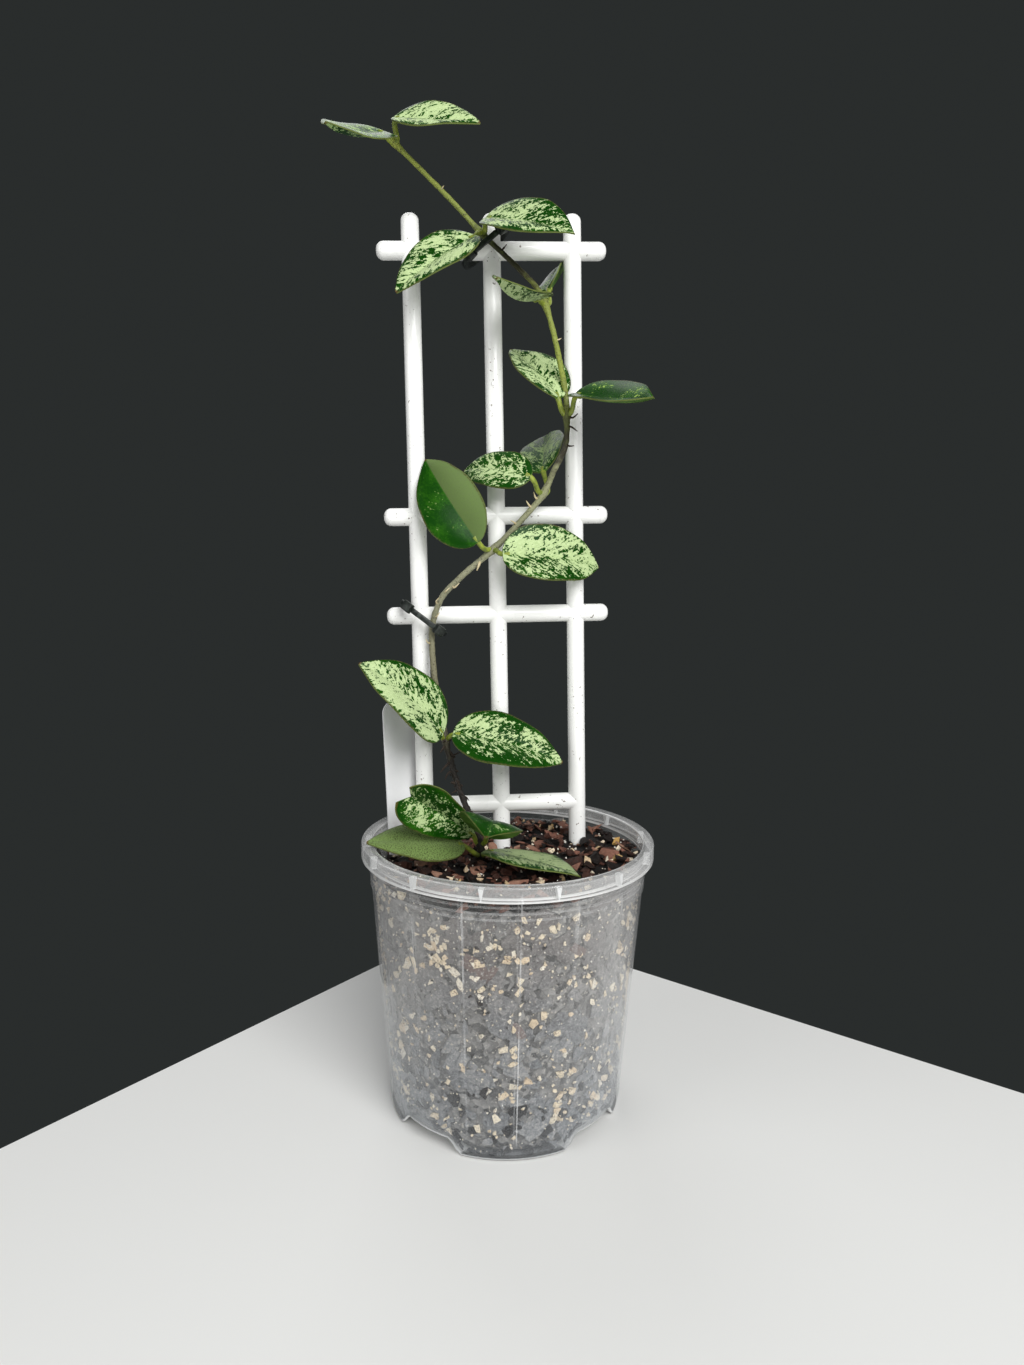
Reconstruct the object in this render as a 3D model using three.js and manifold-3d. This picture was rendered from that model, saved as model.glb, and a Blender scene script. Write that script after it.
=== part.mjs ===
// A young twining hoya in a clear nursery pot, trained up a white trellis.
// Millimetres, +Z up. The origin is the centre of the pot's base, on the surface that it stands on.
// The front is -Y: the trellis stands behind the vine, and most leaves face the front.
import * as THREE from 'three';
import { mergeVertices } from 'three/addons/utils/BufferGeometryUtils.js';
import Module from 'manifold-3d';

const wasm = await Module();
wasm.setup();

// ---------------------------------------------------------------- driving dimensions

const GAP = 0.3; // left between two pieces that touch

const pot = {
  height: 123,
  rimRadius: 65,
  skirtHeight: 6.4,
  shoulderRadius: 61.2,
  shoulderHeight: 104,
  shoulderStep: 0.6, // the wall steps out by this much, over the same height
  heelRadius: 53.4,
  heelHeight: 10,
  footRadius: 51.6,
  wall: 1.2,
  turn: 5, // degrees about +Z, from a foot facing the front
  facets: 48,
};

const notch = {
  height: 6,
  topWidth: 22,
  footWidth: 36,
  footEase: 3, // handles of the ogee at each end of the arch
  topEase: 1.5,
  innerRadius: 40,
  slotWidth: 4,
  slotLength: 9,
  slotInset: 4.5,
};

const mix = {
  middleHeight: 113.5,
  mound: 1.6,
  rise: 0.07, // the surface climbs towards the right
};

const trellis = {
  foot: new THREE.Vector3(-2.75, 20, 115), // on the middle upright, level with the mix
  leanBack: 2.2,
  leanLeft: 1.5,
  turn: 3.6,
  barRadius: 3.95,
  spacing: 35.6,
  top: 281,
  buried: 72,
  rungHalf: 50.6,
  lowRungHalf: 38.95,
  lowRung: 17.6,
  thirdRung: 106,
  secondRung: 150.4,
  topRung: 265.4,
};

const label = {
  width: 20,
  length: 125,
  thickness: 0.8,
  corner: 5,
  point: 14,
  pointWidth: 3,
  top: new THREE.Vector3(-50.6, 19.2, 181), // middle of its top edge
  turn: 45,
  leanLeft: 2.4,
};

const clip = {
  halfLength: 12.8,
  halfDepth: 9.2,
  band: 2,
  height: 2.4,
  latchWidth: 5,
  latchDepth: 3,
  latchHeight: 4.4,
  latchOffset: 8.8, // from the middle of the clip to each latch
  latchSink: 1.2, // how far a latch's middle lies inside the band's front face
  latchTurn: 35,
  tilt: 38,
  forward: 2.6, // in front of the trellis's own plane
};
const lowClipPlace = new THREE.Vector3(1.7 - trellis.spacing, -clip.forward, trellis.thirdRung - 1);
const highClipPlace = new THREE.Vector3(-2.8, -clip.forward, trellis.topRung + 0.6);

// The vine's path, from its buried foot to the growing end. The named points carry leaf pairs.
const vineNodes = {
  node1: new THREE.Vector3(-11.9, -1, 114.5),
  node2: new THREE.Vector3(-12.6, 0, 119.4),
  node3: new THREE.Vector3(-29.1, 11, 165.2),
  node4: new THREE.Vector3(-8.4, 14, 250.1),
  node5: new THREE.Vector3(13.8, 16, 275),
  node6: new THREE.Vector3(23.6, 19, 309.3),
  node7: new THREE.Vector3(13.2, 18, 355.4),
  node8: new THREE.Vector3(-14.4, 23, 385.3),
  node9: new THREE.Vector3(-50.5, 10, 416.4),
};
const vinePath = [
  new THREE.Vector3(-9.5, 1, 62),
  new THREE.Vector3(-12.5, -2, 90),
  vineNodes.node1,
  vineNodes.node2,
  new THREE.Vector3(-21.6, 8, 140.3),
  new THREE.Vector3(-25.3, 10, 150.3),
  vineNodes.node3,
  new THREE.Vector3(-34.2, 13, 194.2),
  new THREE.Vector3(-35.4, 15.5, 213),
  new THREE.Vector3(-34.4, 15.8, 219.5),
  new THREE.Vector3(-30.8, 15, 228.8),
  new THREE.Vector3(-22.6, 14, 237.7),
  vineNodes.node4,
  new THREE.Vector3(3.2, 15, 262),
  vineNodes.node5,
  new THREE.Vector3(18.6, 17, 285.6),
  new THREE.Vector3(23.2, 18, 295.7),
  vineNodes.node6,
  new THREE.Vector3(22.8, 19, 318.4),
  new THREE.Vector3(16.8, 18, 344.7),
  vineNodes.node7,
  new THREE.Vector3(9.7, 18.5, 362),
  new THREE.Vector3(2.2, 20, 369.8),
  vineNodes.node8,
  new THREE.Vector3(-28, 19, 397.8),
  vineNodes.node9,
  new THREE.Vector3(-52.6, 9.4, 418.4),
];
const vine = {
  oldRadius: 1.45,
  youngRadius: 0.95,
  nodeRadius: 0.9, // added at each node
  nodeReach: 3.2,
  sides: 7,
  steps: 72,
};
const roots = {
  radius: 1,
  tipShare: 0.5, // radius at the tip, as a share of the radius at the crown
  crown: new THREE.Vector3(-11.6, -1.2, 84),
  shoulder: 8, // a root runs out this far below the crown before it turns down
  sides: 6,
  steps: 7,
  tips: [
    new THREE.Vector3(-36, -14, 50),
    new THREE.Vector3(8, -26, 44),
    new THREE.Vector3(6, 10, 36),
  ],
};

const blade = {
  middleThickness: 1.7,
  edgeThickness: 0.6,
  tipTaper: 6, // the middle thins over the last sixth of the blade
  start: 0.01,
  end: 0.985,
  alongSteps: 10,
  acrossSteps: 4,
  bendSteps: 24,
  bendGrowth: 1.2, // the bend grows with this power of the way along
  baseFullness: 0.5, // the outline is baseFullness, tipFullness powers of the way along
  tipFullness: 0.8,
  pointStart: 0.72, // from here the outline narrows further, to a point
  pointDepth: 0.4,
  notchGrowth: 4, // a notched tip runs back along the midrib with this power of the way along
};
const petiole = {
  radius: 1.25,
  leave: 0.45, // handles of its curve, as shares of the distance from node to blade
  arrive: 0.35,
  hidden: 0.07, // share of the blade that it runs into
  sides: 6,
  steps: 5,
};

// Nine opposite pairs, numbered up the vine. Angles are in degrees: heading turns from +X to +Y,
// rise is above level, roll turns the blade about its midrib, fold lifts each half, and droop is
// how far the midrib bends down by the tip. A leaf with a notch has a heart-shaped tip.
const leaves = [
  { name: 'leaf_1_left', node: 'node1', base: [-19.3, -4.7, 120], heading: 200, rise: 12, roll: -21,
    length: 44, width: 26, fold: 2, droop: 13 },
  { name: 'leaf_1_right', node: 'node1', base: [-9.5, -8, 118.4], heading: -35, rise: 3, roll: -7,
    length: 49, width: 28, fold: 4, droop: 9 },
  { name: 'leaf_2_left', node: 'node2', base: [-15.2, -2.2, 124.3], heading: 201, rise: 37, roll: -100,
    length: 45, width: 25.3, fold: 31, droop: -25, baseFullness: 0.6, tipFullness: 0.25, notch: 0.16 },
  { name: 'leaf_2_right', node: 'node2', base: [-9.5, -5.3, 124.5], heading: -74, rise: 48, roll: -25,
    length: 43, width: 28, fold: 1, droop: 74 },
  { name: 'leaf_3_left', node: 'node3', base: [-30, 6.2, 167.9], heading: 220, rise: 51, roll: -63,
    length: 51, width: 31, fold: 12, droop: 36 },
  { name: 'leaf_3_right', node: 'node3', base: [-25.4, 5.6, 168.3], heading: -6, rise: -5, roll: 39,
    length: 52, width: 30, fold: 11, droop: 28 },
  { name: 'leaf_4_left', node: 'node4', base: [-14.2, 6.3, 253], heading: 166, rise: 53, roll: -90,
    length: 47, width: 30, fold: 21, droop: 24 },
  { name: 'leaf_4_right', node: 'node4', base: [-4.2, 6, 248.2], heading: 9, rise: 0, roll: 64,
    length: 49, width: 29, fold: 20, droop: 34 },
  { name: 'leaf_5_left', node: 'node5', base: [8.3, 8.3, 281.7], heading: 162, rise: 15, roll: -58,
    length: 37, width: 20, fold: 5, droop: 39 },
  { name: 'leaf_5_right', node: 'node5', base: [13.7, 23.3, 284.7], heading: 89, rise: 36, roll: -28,
    length: 43, width: 24, fold: 14, droop: 18 },
  { name: 'leaf_6_left', node: 'node6', base: [19.9, 16.3, 315.7], heading: 134, rise: 46, roll: -18,
    length: 42, width: 24, fold: 17, droop: 21 },
  { name: 'leaf_6_right', node: 'node6', base: [26.8, 13.3, 317.2], heading: -49, rise: -16, roll: 23,
    length: 48, width: 27, fold: 20, droop: -19 },
  { name: 'leaf_7_left', node: 'node7', base: [10.2, 11.8, 356.2], heading: 240, rise: -18, roll: -21,
    length: 43, width: 25, fold: 25, droop: -36 },
  { name: 'leaf_7_right', node: 'node7', base: [14.6, 26, 362.8], heading: 68, rise: 34, roll: -34,
    length: 30, width: 15, fold: 25, droop: -6 },
  { name: 'leaf_8_left', node: 'node8', base: [-16.8, 13.9, 381.3], heading: 207, rise: -32, roll: -33,
    length: 44, width: 27, fold: 14, droop: 13 },
  { name: 'leaf_8_right', node: 'node8', base: [-12.6, 14.5, 388.5], heading: -37, rise: -10, roll: 40,
    length: 45, width: 27, fold: 15, droop: 18 },
  { name: 'leaf_9_left', node: 'node9', base: [-54.5, 6.6, 418.9], heading: 242, rise: -26, roll: -23,
    length: 44, width: 26, fold: 8, droop: -24 },
  { name: 'leaf_9_right', node: 'node9', base: [-50.5, 8.2, 424.8], heading: -19, rise: -10, roll: 43,
    length: 39, width: 22, fold: 16, droop: -2 },
];

// ---------------------------------------------------------------- solids and meshes

const DEG = Math.PI / 180;

function merged(geometry) {
  const bare = geometry.clone();
  bare.deleteAttribute('normal');
  bare.deleteAttribute('uv');
  return mergeVertices(bare, 1e-4);
}

// A closed geometry as a solid that can be joined and cut.
function solidOf(geometry) {
  const closed = merged(geometry);
  const corners = closed.index.array;
  const triVerts = [];
  for (let i = 0; i < corners.length; i += 3) {
    const [a, b, c] = corners.slice(i, i + 3);
    if (a !== b && b !== c && c !== a) triVerts.push(a, b, c);
  }
  const vertProperties = closed.attributes.position.array;
  return new wasm.Manifold(
    new wasm.Mesh({ numProp: 3, vertProperties, triVerts: new Uint32Array(triVerts) }),
  );
}

function geometryOf(solid) {
  const mesh = solid.getMesh();
  const geometry = new THREE.BufferGeometry();
  geometry.setAttribute('position', new THREE.BufferAttribute(mesh.vertProperties, mesh.numProp));
  geometry.setIndex(new THREE.BufferAttribute(mesh.triVerts, 1));
  return geometry;
}

const plant = new THREE.Group();

function addPiece(name, solid, look) {
  const material = new THREE.MeshStandardMaterial(look);
  const mesh = new THREE.Mesh(geometryOf(solid), material);
  mesh.name = name;
  plant.add(mesh);
}

// A round tube along a curve, whose radius may change along it: a capped cylinder laid on the curve.
function tubeAlong(curve, radiusAt, sides, steps) {
  const frames = curve.computeFrenetFrames(steps, false);
  const geometry = new THREE.CylinderGeometry(1, 1, 1, sides, steps);
  const spots = geometry.attributes.position;
  for (let i = 0; i < spots.count; i++) {
    const step = Math.round((spots.getY(i) + 0.5) * steps);
    const along = step / steps;
    const radius = radiusAt(along);
    const point = curve
      .getPointAt(along)
      .addScaledVector(frames.normals[step], spots.getX(i) * radius)
      .addScaledVector(frames.binormals[step], -spots.getZ(i) * radius);
    spots.setXYZ(i, point.x, point.y, point.z);
  }
  const solid = solidOf(geometry);
  return solid.volume() > 0 ? solid : solidOf(flipped(geometry));
}

function flipped(geometry) {
  const turned = geometry.clone();
  const corners = turned.index.array;
  for (let i = 0; i < corners.length; i += 3) {
    const second = corners[i + 1];
    corners[i + 1] = corners[i + 2];
    corners[i + 2] = second;
  }
  return turned;
}

function lathe(profile, facets) {
  const points = profile.map(([radius, height]) => new THREE.Vector2(radius, height));
  const geometry = new THREE.LatheGeometry(points, facets);
  geometry.rotateX(Math.PI / 2);
  return solidOf(geometry);
}

// ---------------------------------------------------------------- pot

const bendHeight = pot.heelHeight * 0.3; // one step of the round heel

// The wall's outer radius at a height: a round heel, then a steady taper up to the shoulder.
function wallRadius(height) {
  if (height < pot.heelHeight) {
    const down = 1 - height / pot.heelHeight;
    return pot.heelRadius - (pot.heelRadius - pot.footRadius) * down * down;
  }
  const up = (height - pot.heelHeight) / (pot.shoulderHeight - pot.heelHeight);
  return THREE.MathUtils.lerp(pot.heelRadius, pot.shoulderRadius - pot.shoulderStep, up);
}

function potOutside() {
  const skirtFoot = pot.height - pot.skirtHeight;
  const flangeUnder = pot.height - pot.wall;
  return lathe(
    [
      [0, 0],
      [wallRadius(0), 0],
      [wallRadius(bendHeight), bendHeight],
      [wallRadius(pot.heelHeight), pot.heelHeight],
      [wallRadius(pot.shoulderHeight), pot.shoulderHeight],
      [pot.shoulderRadius, pot.shoulderHeight + pot.shoulderStep],
      [pot.shoulderRadius, flangeUnder],
      [pot.rimRadius - pot.wall, flangeUnder],
      [pot.rimRadius - pot.wall, skirtFoot],
      [pot.rimRadius, skirtFoot],
      [pot.rimRadius, pot.height],
      [0, pot.height],
    ],
    pot.facets,
  );
}

// The space inside the wall, or a solid `clear` smaller all round, up to a given height.
function potInside(clear, top) {
  const inset = pot.wall + clear;
  return lathe(
    [
      [0, inset],
      [wallRadius(bendHeight) - inset, inset],
      [wallRadius(pot.heelHeight) - inset, pot.heelHeight],
      [wallRadius(pot.shoulderHeight) - inset, pot.shoulderHeight],
      [pot.shoulderRadius - inset, pot.shoulderHeight + pot.shoulderStep],
      [pot.shoulderRadius - inset, top],
      [0, top],
    ],
    pot.facets,
  );
}

// The four raised arches between the feet, each a prism that runs outwards, `grow` larger all round.
function notches(grow) {
  const foot = notch.footWidth / 2 + grow;
  const top = notch.topWidth / 2 + grow;
  const height = notch.height + grow;
  const { footEase, topEase } = notch;
  const arch = new THREE.Shape();
  arch.moveTo(-foot, -1);
  arch.lineTo(foot, -1);
  arch.lineTo(foot, 0);
  arch.bezierCurveTo(foot - footEase, 0, top + topEase, height, top, height);
  arch.lineTo(-top, height);
  arch.bezierCurveTo(-top - topEase, height, footEase - foot, 0, -foot, 0);
  const reach = pot.rimRadius - notch.innerRadius + grow;
  const geometry = new THREE.ExtrudeGeometry(arch, { depth: reach, bevelEnabled: false, curveSegments: 5 });
  geometry.rotateX(Math.PI / 2);
  geometry.translate(0, reach + notch.innerRadius - grow, 0);
  return aroundThePot(geometry);
}

// The drain slots: one through the roof of each arch.
function drainSlots() {
  const slot = new THREE.BoxGeometry(notch.slotLength, notch.slotWidth, notch.height + 2 * pot.wall);
  slot.translate(0, notch.innerRadius + notch.slotInset, notch.height);
  return aroundThePot(slot);
}

function aroundThePot(geometry) {
  let all;
  for (let quarter = 0; quarter < 4; quarter++) {
    const turned = geometry.clone();
    turned.rotateZ((pot.turn + 45 + 90 * quarter) * DEG);
    const solid = solidOf(turned);
    all = all ? all.add(solid) : solid;
  }
  return all;
}

function potSolid() {
  const outside = potOutside().subtract(notches(0));
  const inside = potInside(0, pot.height + 1).subtract(notches(pot.wall));
  return outside.subtract(inside).subtract(drainSlots());
}

// ---------------------------------------------------------------- trellis

const trellisPose = new THREE.Matrix4()
  .makeRotationFromEuler(
    new THREE.Euler(-trellis.leanBack * DEG, -trellis.leanLeft * DEG, trellis.turn * DEG, 'ZYX'),
  )
  .setPosition(trellis.foot);

// A round bar with round ends, from one height or side to another in the trellis's own plane.
function bar(radius, from, to) {
  const span = new THREE.Vector3().subVectors(to, from);
  const geometry = new THREE.CapsuleGeometry(radius, span.length() - 2 * radius, 3, 10);
  const middle = new THREE.Vector3().addVectors(from, to).multiplyScalar(0.5);
  if (span.z > 0) geometry.rotateX(Math.PI / 2);
  else geometry.rotateZ(Math.PI / 2);
  geometry.translate(middle.x, middle.y, middle.z);
  geometry.applyMatrix4(trellisPose);
  return solidOf(geometry);
}

function trellisSolid(grow) {
  const radius = trellis.barRadius + grow;
  const bars = [];
  for (const side of [-1, 0, 1]) {
    const x = side * trellis.spacing;
    const foot = new THREE.Vector3(x, 0, -trellis.buried - grow);
    bars.push(bar(radius, foot, new THREE.Vector3(x, 0, trellis.top + grow)));
  }
  const { rungHalf, lowRungHalf, lowRung, thirdRung, secondRung, topRung } = trellis;
  for (const height of [lowRung, thirdRung, secondRung, topRung]) {
    const end = (height === lowRung ? lowRungHalf : rungHalf) + grow;
    bars.push(bar(radius, new THREE.Vector3(-end, 0, height), new THREE.Vector3(end, 0, height)));
  }
  return bars.reduce((frame, next) => frame.add(next));
}

// ---------------------------------------------------------------- plant label

// A flat tag with a round-cornered top and a pointed foot, `grow` larger all round.
function labelSolid(grow) {
  const half = label.width / 2 + grow;
  const foot = -label.length - grow;
  const shape = new THREE.Shape();
  shape.moveTo(-half, foot + label.point);
  shape.lineTo(-label.pointWidth / 2, foot);
  shape.lineTo(label.pointWidth / 2, foot);
  shape.lineTo(half, foot + label.point);
  shape.lineTo(half, -label.corner);
  shape.absarc(half - label.corner, -label.corner, label.corner, 0, Math.PI / 2);
  shape.absarc(label.corner - half, -label.corner, label.corner, Math.PI / 2, Math.PI);
  const depth = label.thickness + 2 * grow;
  const geometry = new THREE.ExtrudeGeometry(shape, { depth, bevelEnabled: false, curveSegments: 4 });
  geometry.translate(0, 0, -depth / 2);
  geometry.rotateX(Math.PI / 2);
  geometry.rotateZ(label.turn * DEG);
  geometry.rotateY(-label.leanLeft * DEG);
  geometry.translate(label.top.x, label.top.y, label.top.z);
  return solidOf(geometry);
}

// ---------------------------------------------------------------- vine clips

function stadium(shape, halfLength, halfDepth) {
  const straight = halfLength - halfDepth;
  shape.absarc(straight, 0, halfDepth, -Math.PI / 2, Math.PI / 2);
  shape.absarc(-straight, 0, halfDepth, Math.PI / 2, 1.5 * Math.PI);
  return shape;
}

// A flat band bent into a long ring, with a thicker latch at each end of its front.
// It closes round one upright, the rung there and the vine. `tilt` lifts its right end.
function clipSolid(place, tilt) {
  const ring = stadium(new THREE.Shape(), clip.halfLength, clip.halfDepth);
  ring.holes.push(stadium(new THREE.Path(), clip.halfLength - clip.band, clip.halfDepth - clip.band));
  const band = { depth: clip.height, bevelEnabled: false, curveSegments: 10 };
  const ringGeometry = new THREE.ExtrudeGeometry(ring, band);
  ringGeometry.translate(0, 0, -clip.height / 2);
  const pieces = [ringGeometry];
  for (const end of [-1, 1]) {
    const latch = new THREE.BoxGeometry(clip.latchWidth, clip.latchDepth, clip.latchHeight);
    latch.rotateZ(end * clip.latchTurn * DEG);
    latch.translate(end * clip.latchOffset, clip.latchSink - clip.halfDepth, 0);
    pieces.push(latch);
  }
  const pose = new THREE.Matrix4().makeRotationY(-tilt * DEG).setPosition(place);
  pose.premultiply(trellisPose);
  return pieces.map((geometry) => solidOf(geometry.applyMatrix4(pose))).reduce((a, b) => a.add(b));
}

// ---------------------------------------------------------------- vine

// The vine's line, with both ends `grow` longer.
function vineLine(grow) {
  const path = vinePath.map((point) => point.clone());
  path[0].z -= grow;
  path[path.length - 1].z += grow;
  return new THREE.CatmullRomCurve3(path, false, 'centripetal');
}
const vineCurve = vineLine(0);

// Distance along the vine of each leaf node, as a share of its length.
function nodePlaces() {
  const samples = 1200;
  return Object.values(vineNodes).map((node) => {
    let nearest = 0;
    let least = Infinity;
    for (let i = 0; i <= samples; i++) {
      const away = vineCurve.getPointAt(i / samples).distanceTo(node);
      if (away < least) {
        least = away;
        nearest = i / samples;
      }
    }
    return nearest;
  });
}
const vinePlaces = nodePlaces();
const vineLength = vineCurve.getLength();

// Thick and woody below, slimmer above, with a swelling at each leaf node.
function vineRadius(along) {
  const plain = THREE.MathUtils.lerp(vine.oldRadius, vine.youngRadius, along * along);
  let swelling = 0;
  for (const place of vinePlaces) {
    const away = (Math.abs(along - place) * vineLength) / vine.nodeReach;
    swelling = Math.max(swelling, vine.nodeRadius * Math.exp(-away * away));
  }
  return plain + swelling;
}

function vineSolid(grow) {
  const line = vineLine(grow);
  let solid = tubeAlong(line, (along) => vineRadius(along) + grow, vine.sides, vine.steps);
  for (const tip of roots.tips) {
    const bend = new THREE.Vector3(tip.x, tip.y, roots.crown.z - roots.shoulder);
    const end = new THREE.Vector3(tip.x, tip.y, tip.z - grow);
    const curve = new THREE.QuadraticBezierCurve3(roots.crown, bend, end);
    const taper = (along) => roots.radius * THREE.MathUtils.lerp(1, roots.tipShare, along) + grow;
    solid = solid.add(tubeAlong(curve, taper, roots.sides, roots.steps));
  }
  return solid;
}

// ---------------------------------------------------------------- leaves

function bladeWidthAt(along, leaf) {
  const { baseFullness: p, tipFullness: q, notch } = { ...blade, ...leaf };
  const widest = p / (p + q);
  const scale = widest ** p * (1 - widest) ** q;
  const toPoint = Math.max(0, along - blade.pointStart) / (1 - blade.pointStart);
  const pointed = notch ? 1 : 1 - blade.pointDepth * toPoint * toPoint;
  return (pointed * along ** p * (1 - along) ** q) / scale;
}

// The blade's own directions: along its midrib, to the left of it, and out of its upper face.
function bladeAxes({ heading, rise, roll }) {
  const along = new THREE.Vector3(
    Math.cos(rise * DEG) * Math.cos(heading * DEG),
    Math.cos(rise * DEG) * Math.sin(heading * DEG),
    Math.sin(rise * DEG),
  );
  const left = new THREE.Vector3(-Math.sin(heading * DEG), Math.cos(heading * DEG), 0);
  left.applyAxisAngle(along, roll * DEG);
  const up = new THREE.Vector3().crossVectors(along, left);
  return { along, left, up };
}

// A point of the blade: `along` runs 0 to 1 up the midrib, `across` -1 to 1 from right to left,
// and `face` is 1 on the upper face and -1 on the lower one.
function bladePoint(leaf, axes, along, across, face) {
  const indent = (leaf.notch ?? 0) * (1 - Math.abs(across)) * along ** blade.notchGrowth;
  const reached = along * (1 - indent);
  const point = leaf.base.clone();
  for (let i = 0; i < blade.bendSteps; i++) {
    const bend = leaf.droop * DEG * (((i + 0.5) / blade.bendSteps) * reached) ** blade.bendGrowth;
    const step = (leaf.length * reached) / blade.bendSteps;
    point.addScaledVector(axes.along, step * Math.cos(bend));
    point.addScaledVector(axes.up, -step * Math.sin(bend));
  }
  const bend = leaf.droop * DEG * reached ** blade.bendGrowth;
  const up = axes.up.clone().multiplyScalar(Math.cos(bend));
  up.addScaledVector(axes.along, Math.sin(bend));
  const out = (leaf.width / 2) * bladeWidthAt(along, leaf) * across;
  const fold = leaf.fold * DEG;
  point.addScaledVector(axes.left, out * Math.cos(fold));
  point.addScaledVector(up, Math.abs(out) * Math.sin(fold));
  const middle = blade.middleThickness - blade.edgeThickness;
  const fullness = (1 - across * across) * Math.min(1, blade.tipTaper * (1 - along));
  const lift = (face * (blade.edgeThickness + middle * fullness)) / 2;
  point.addScaledVector(up, lift * Math.cos(fold * across * across));
  point.addScaledVector(axes.left, -lift * Math.sin(fold * across * Math.abs(across)));
  return point;
}

function bladeSolid(leaf, axes) {
  const geometry = new THREE.BoxGeometry(1, 1, 1, blade.alongSteps, blade.acrossSteps, 1);
  const spots = geometry.attributes.position;
  for (let i = 0; i < spots.count; i++) {
    const even = THREE.MathUtils.smoothstep(spots.getX(i) + 0.5, 0, 1);
    const along = THREE.MathUtils.lerp(blade.start, blade.end, even);
    const point = bladePoint(leaf, axes, along, 2 * spots.getY(i), 2 * spots.getZ(i));
    spots.setXYZ(i, point.x, point.y, point.z);
  }
  return solidOf(geometry);
}

// The stalk leaves its own side of the node, level, and arrives along the midrib, so some curl
// round like a hook.
function petioleSolid(leaf, axes, node) {
  const apart = new THREE.Vector3().subVectors(leaf.base, node);
  const reach = apart.length();
  const side = leaf.name.endsWith('left') ? -1 : 1;
  const out = new THREE.Vector3(apart.x + side * reach, apart.y, 0).setLength(reach * petiole.leave);
  const leaving = node.clone().add(out);
  const arriving = leaf.base.clone().addScaledVector(axes.along, -petiole.arrive * reach);
  const end = bladePoint(leaf, axes, petiole.hidden, 0, 0);
  const curve = new THREE.CubicBezierCurve3(node, leaving, arriving, end);
  return tubeAlong(curve, () => petiole.radius, petiole.sides, petiole.steps);
}

// ---------------------------------------------------------------- potting mix

const vineSpace = vineSolid(GAP);

// The mix fills the pot loosely round the trellis's legs, the label's foot and the roots. Its top
// is a shallow dome: everything above the dome is cut off the filling.
function mixSolid() {
  const fill = potInside(GAP, pot.height).subtract(notches(pot.wall + GAP));
  const aboveRadius = pot.rimRadius + 5;
  const above = new THREE.CylinderGeometry(aboveRadius, aboveRadius, 1, pot.facets, 1);
  above.rotateX(Math.PI / 2);
  const spots = above.attributes.position;
  for (let i = 0; i < spots.count; i++) {
    const isTop = spots.getZ(i) > 0;
    const isMiddle = Math.hypot(spots.getX(i), spots.getY(i)) < 1;
    const surface = mix.middleHeight + mix.rise * spots.getX(i) - (isMiddle ? 0 : mix.mound);
    spots.setZ(i, isTop ? pot.height + 1 : surface);
  }
  return fill
    .subtract(solidOf(above))
    .subtract(trellisSolid(GAP))
    .subtract(labelSolid(GAP))
    .subtract(vineSpace);
}

// ---------------------------------------------------------------- the pieces

const clipLook = { color: 0x1b211e, roughness: 0.5, metalness: 0 };
addPiece('pot', potSolid(), { color: 0xd4d9dc, roughness: 0.25, metalness: 0 });
addPiece('potting_mix', mixSolid(), { color: 0x4a3028, roughness: 0.95, metalness: 0 });
addPiece('trellis', trellisSolid(0), { color: 0xf2f2ee, roughness: 0.35, metalness: 0 });
addPiece('plant_label', labelSolid(0), { color: 0xeeeeee, roughness: 0.4, metalness: 0 });
addPiece('clip_lower', clipSolid(lowClipPlace, -clip.tilt), clipLook);
addPiece('clip_upper', clipSolid(highClipPlace, clip.tilt), clipLook);
addPiece('vine_stem', vineSolid(0), { color: 0x6f7347, roughness: 0.7, metalness: 0 });

for (const leaf of leaves) {
  const placed = { ...leaf, base: new THREE.Vector3(...leaf.base) };
  const axes = bladeAxes(placed);
  const stalk = petioleSolid(placed, axes, vineNodes[leaf.node]);
  const solid = bladeSolid(placed, axes).add(stalk).subtract(vineSpace);
  addPiece(leaf.name, solid, { color: 0x4f7a45, roughness: 0.4, metalness: 0 });
}

export default plant;
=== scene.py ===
import math
import random

import bmesh
import bpy
from mathutils import Matrix, Vector, noise


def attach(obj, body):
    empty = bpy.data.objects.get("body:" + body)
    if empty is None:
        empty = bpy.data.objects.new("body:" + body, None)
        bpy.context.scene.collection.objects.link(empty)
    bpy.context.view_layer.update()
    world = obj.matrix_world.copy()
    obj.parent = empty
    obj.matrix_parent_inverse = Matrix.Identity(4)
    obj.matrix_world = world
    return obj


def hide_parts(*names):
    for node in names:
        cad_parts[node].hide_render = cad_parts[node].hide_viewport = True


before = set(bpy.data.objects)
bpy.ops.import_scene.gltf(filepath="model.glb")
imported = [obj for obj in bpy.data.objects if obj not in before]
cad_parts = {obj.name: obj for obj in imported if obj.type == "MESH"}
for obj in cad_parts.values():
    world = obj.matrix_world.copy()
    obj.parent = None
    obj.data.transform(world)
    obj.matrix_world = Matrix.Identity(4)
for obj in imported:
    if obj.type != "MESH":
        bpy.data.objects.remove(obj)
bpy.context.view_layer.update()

# ---------------------------------------------------------------- camera, floor and light
# The camera stands 41 cm in front of the pot, level with the middle of the trellis, and looks a
# little down. Three large soft lamps light the plant, which stands on a plain pale floor.

camera_pitch = 0.148188207
camera_roll = 0.012594286
camera_place = (0.0010066, -0.4099303, 0.2539754)
focal_pixels = 946
picture_pixels = 1365
film_height = 36
ahead = Vector((0, math.cos(camera_pitch), -math.sin(camera_pitch)))
level_side = Vector((1, 0, 0))
level_up = level_side.cross(ahead)
camera_side = math.cos(camera_roll) * level_side + math.sin(camera_roll) * level_up
camera_up = math.cos(camera_roll) * level_up - math.sin(camera_roll) * level_side


def into_scene(name, data):
    made = bpy.data.objects.new(name, data)
    bpy.context.scene.collection.objects.link(made)
    return made


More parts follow.
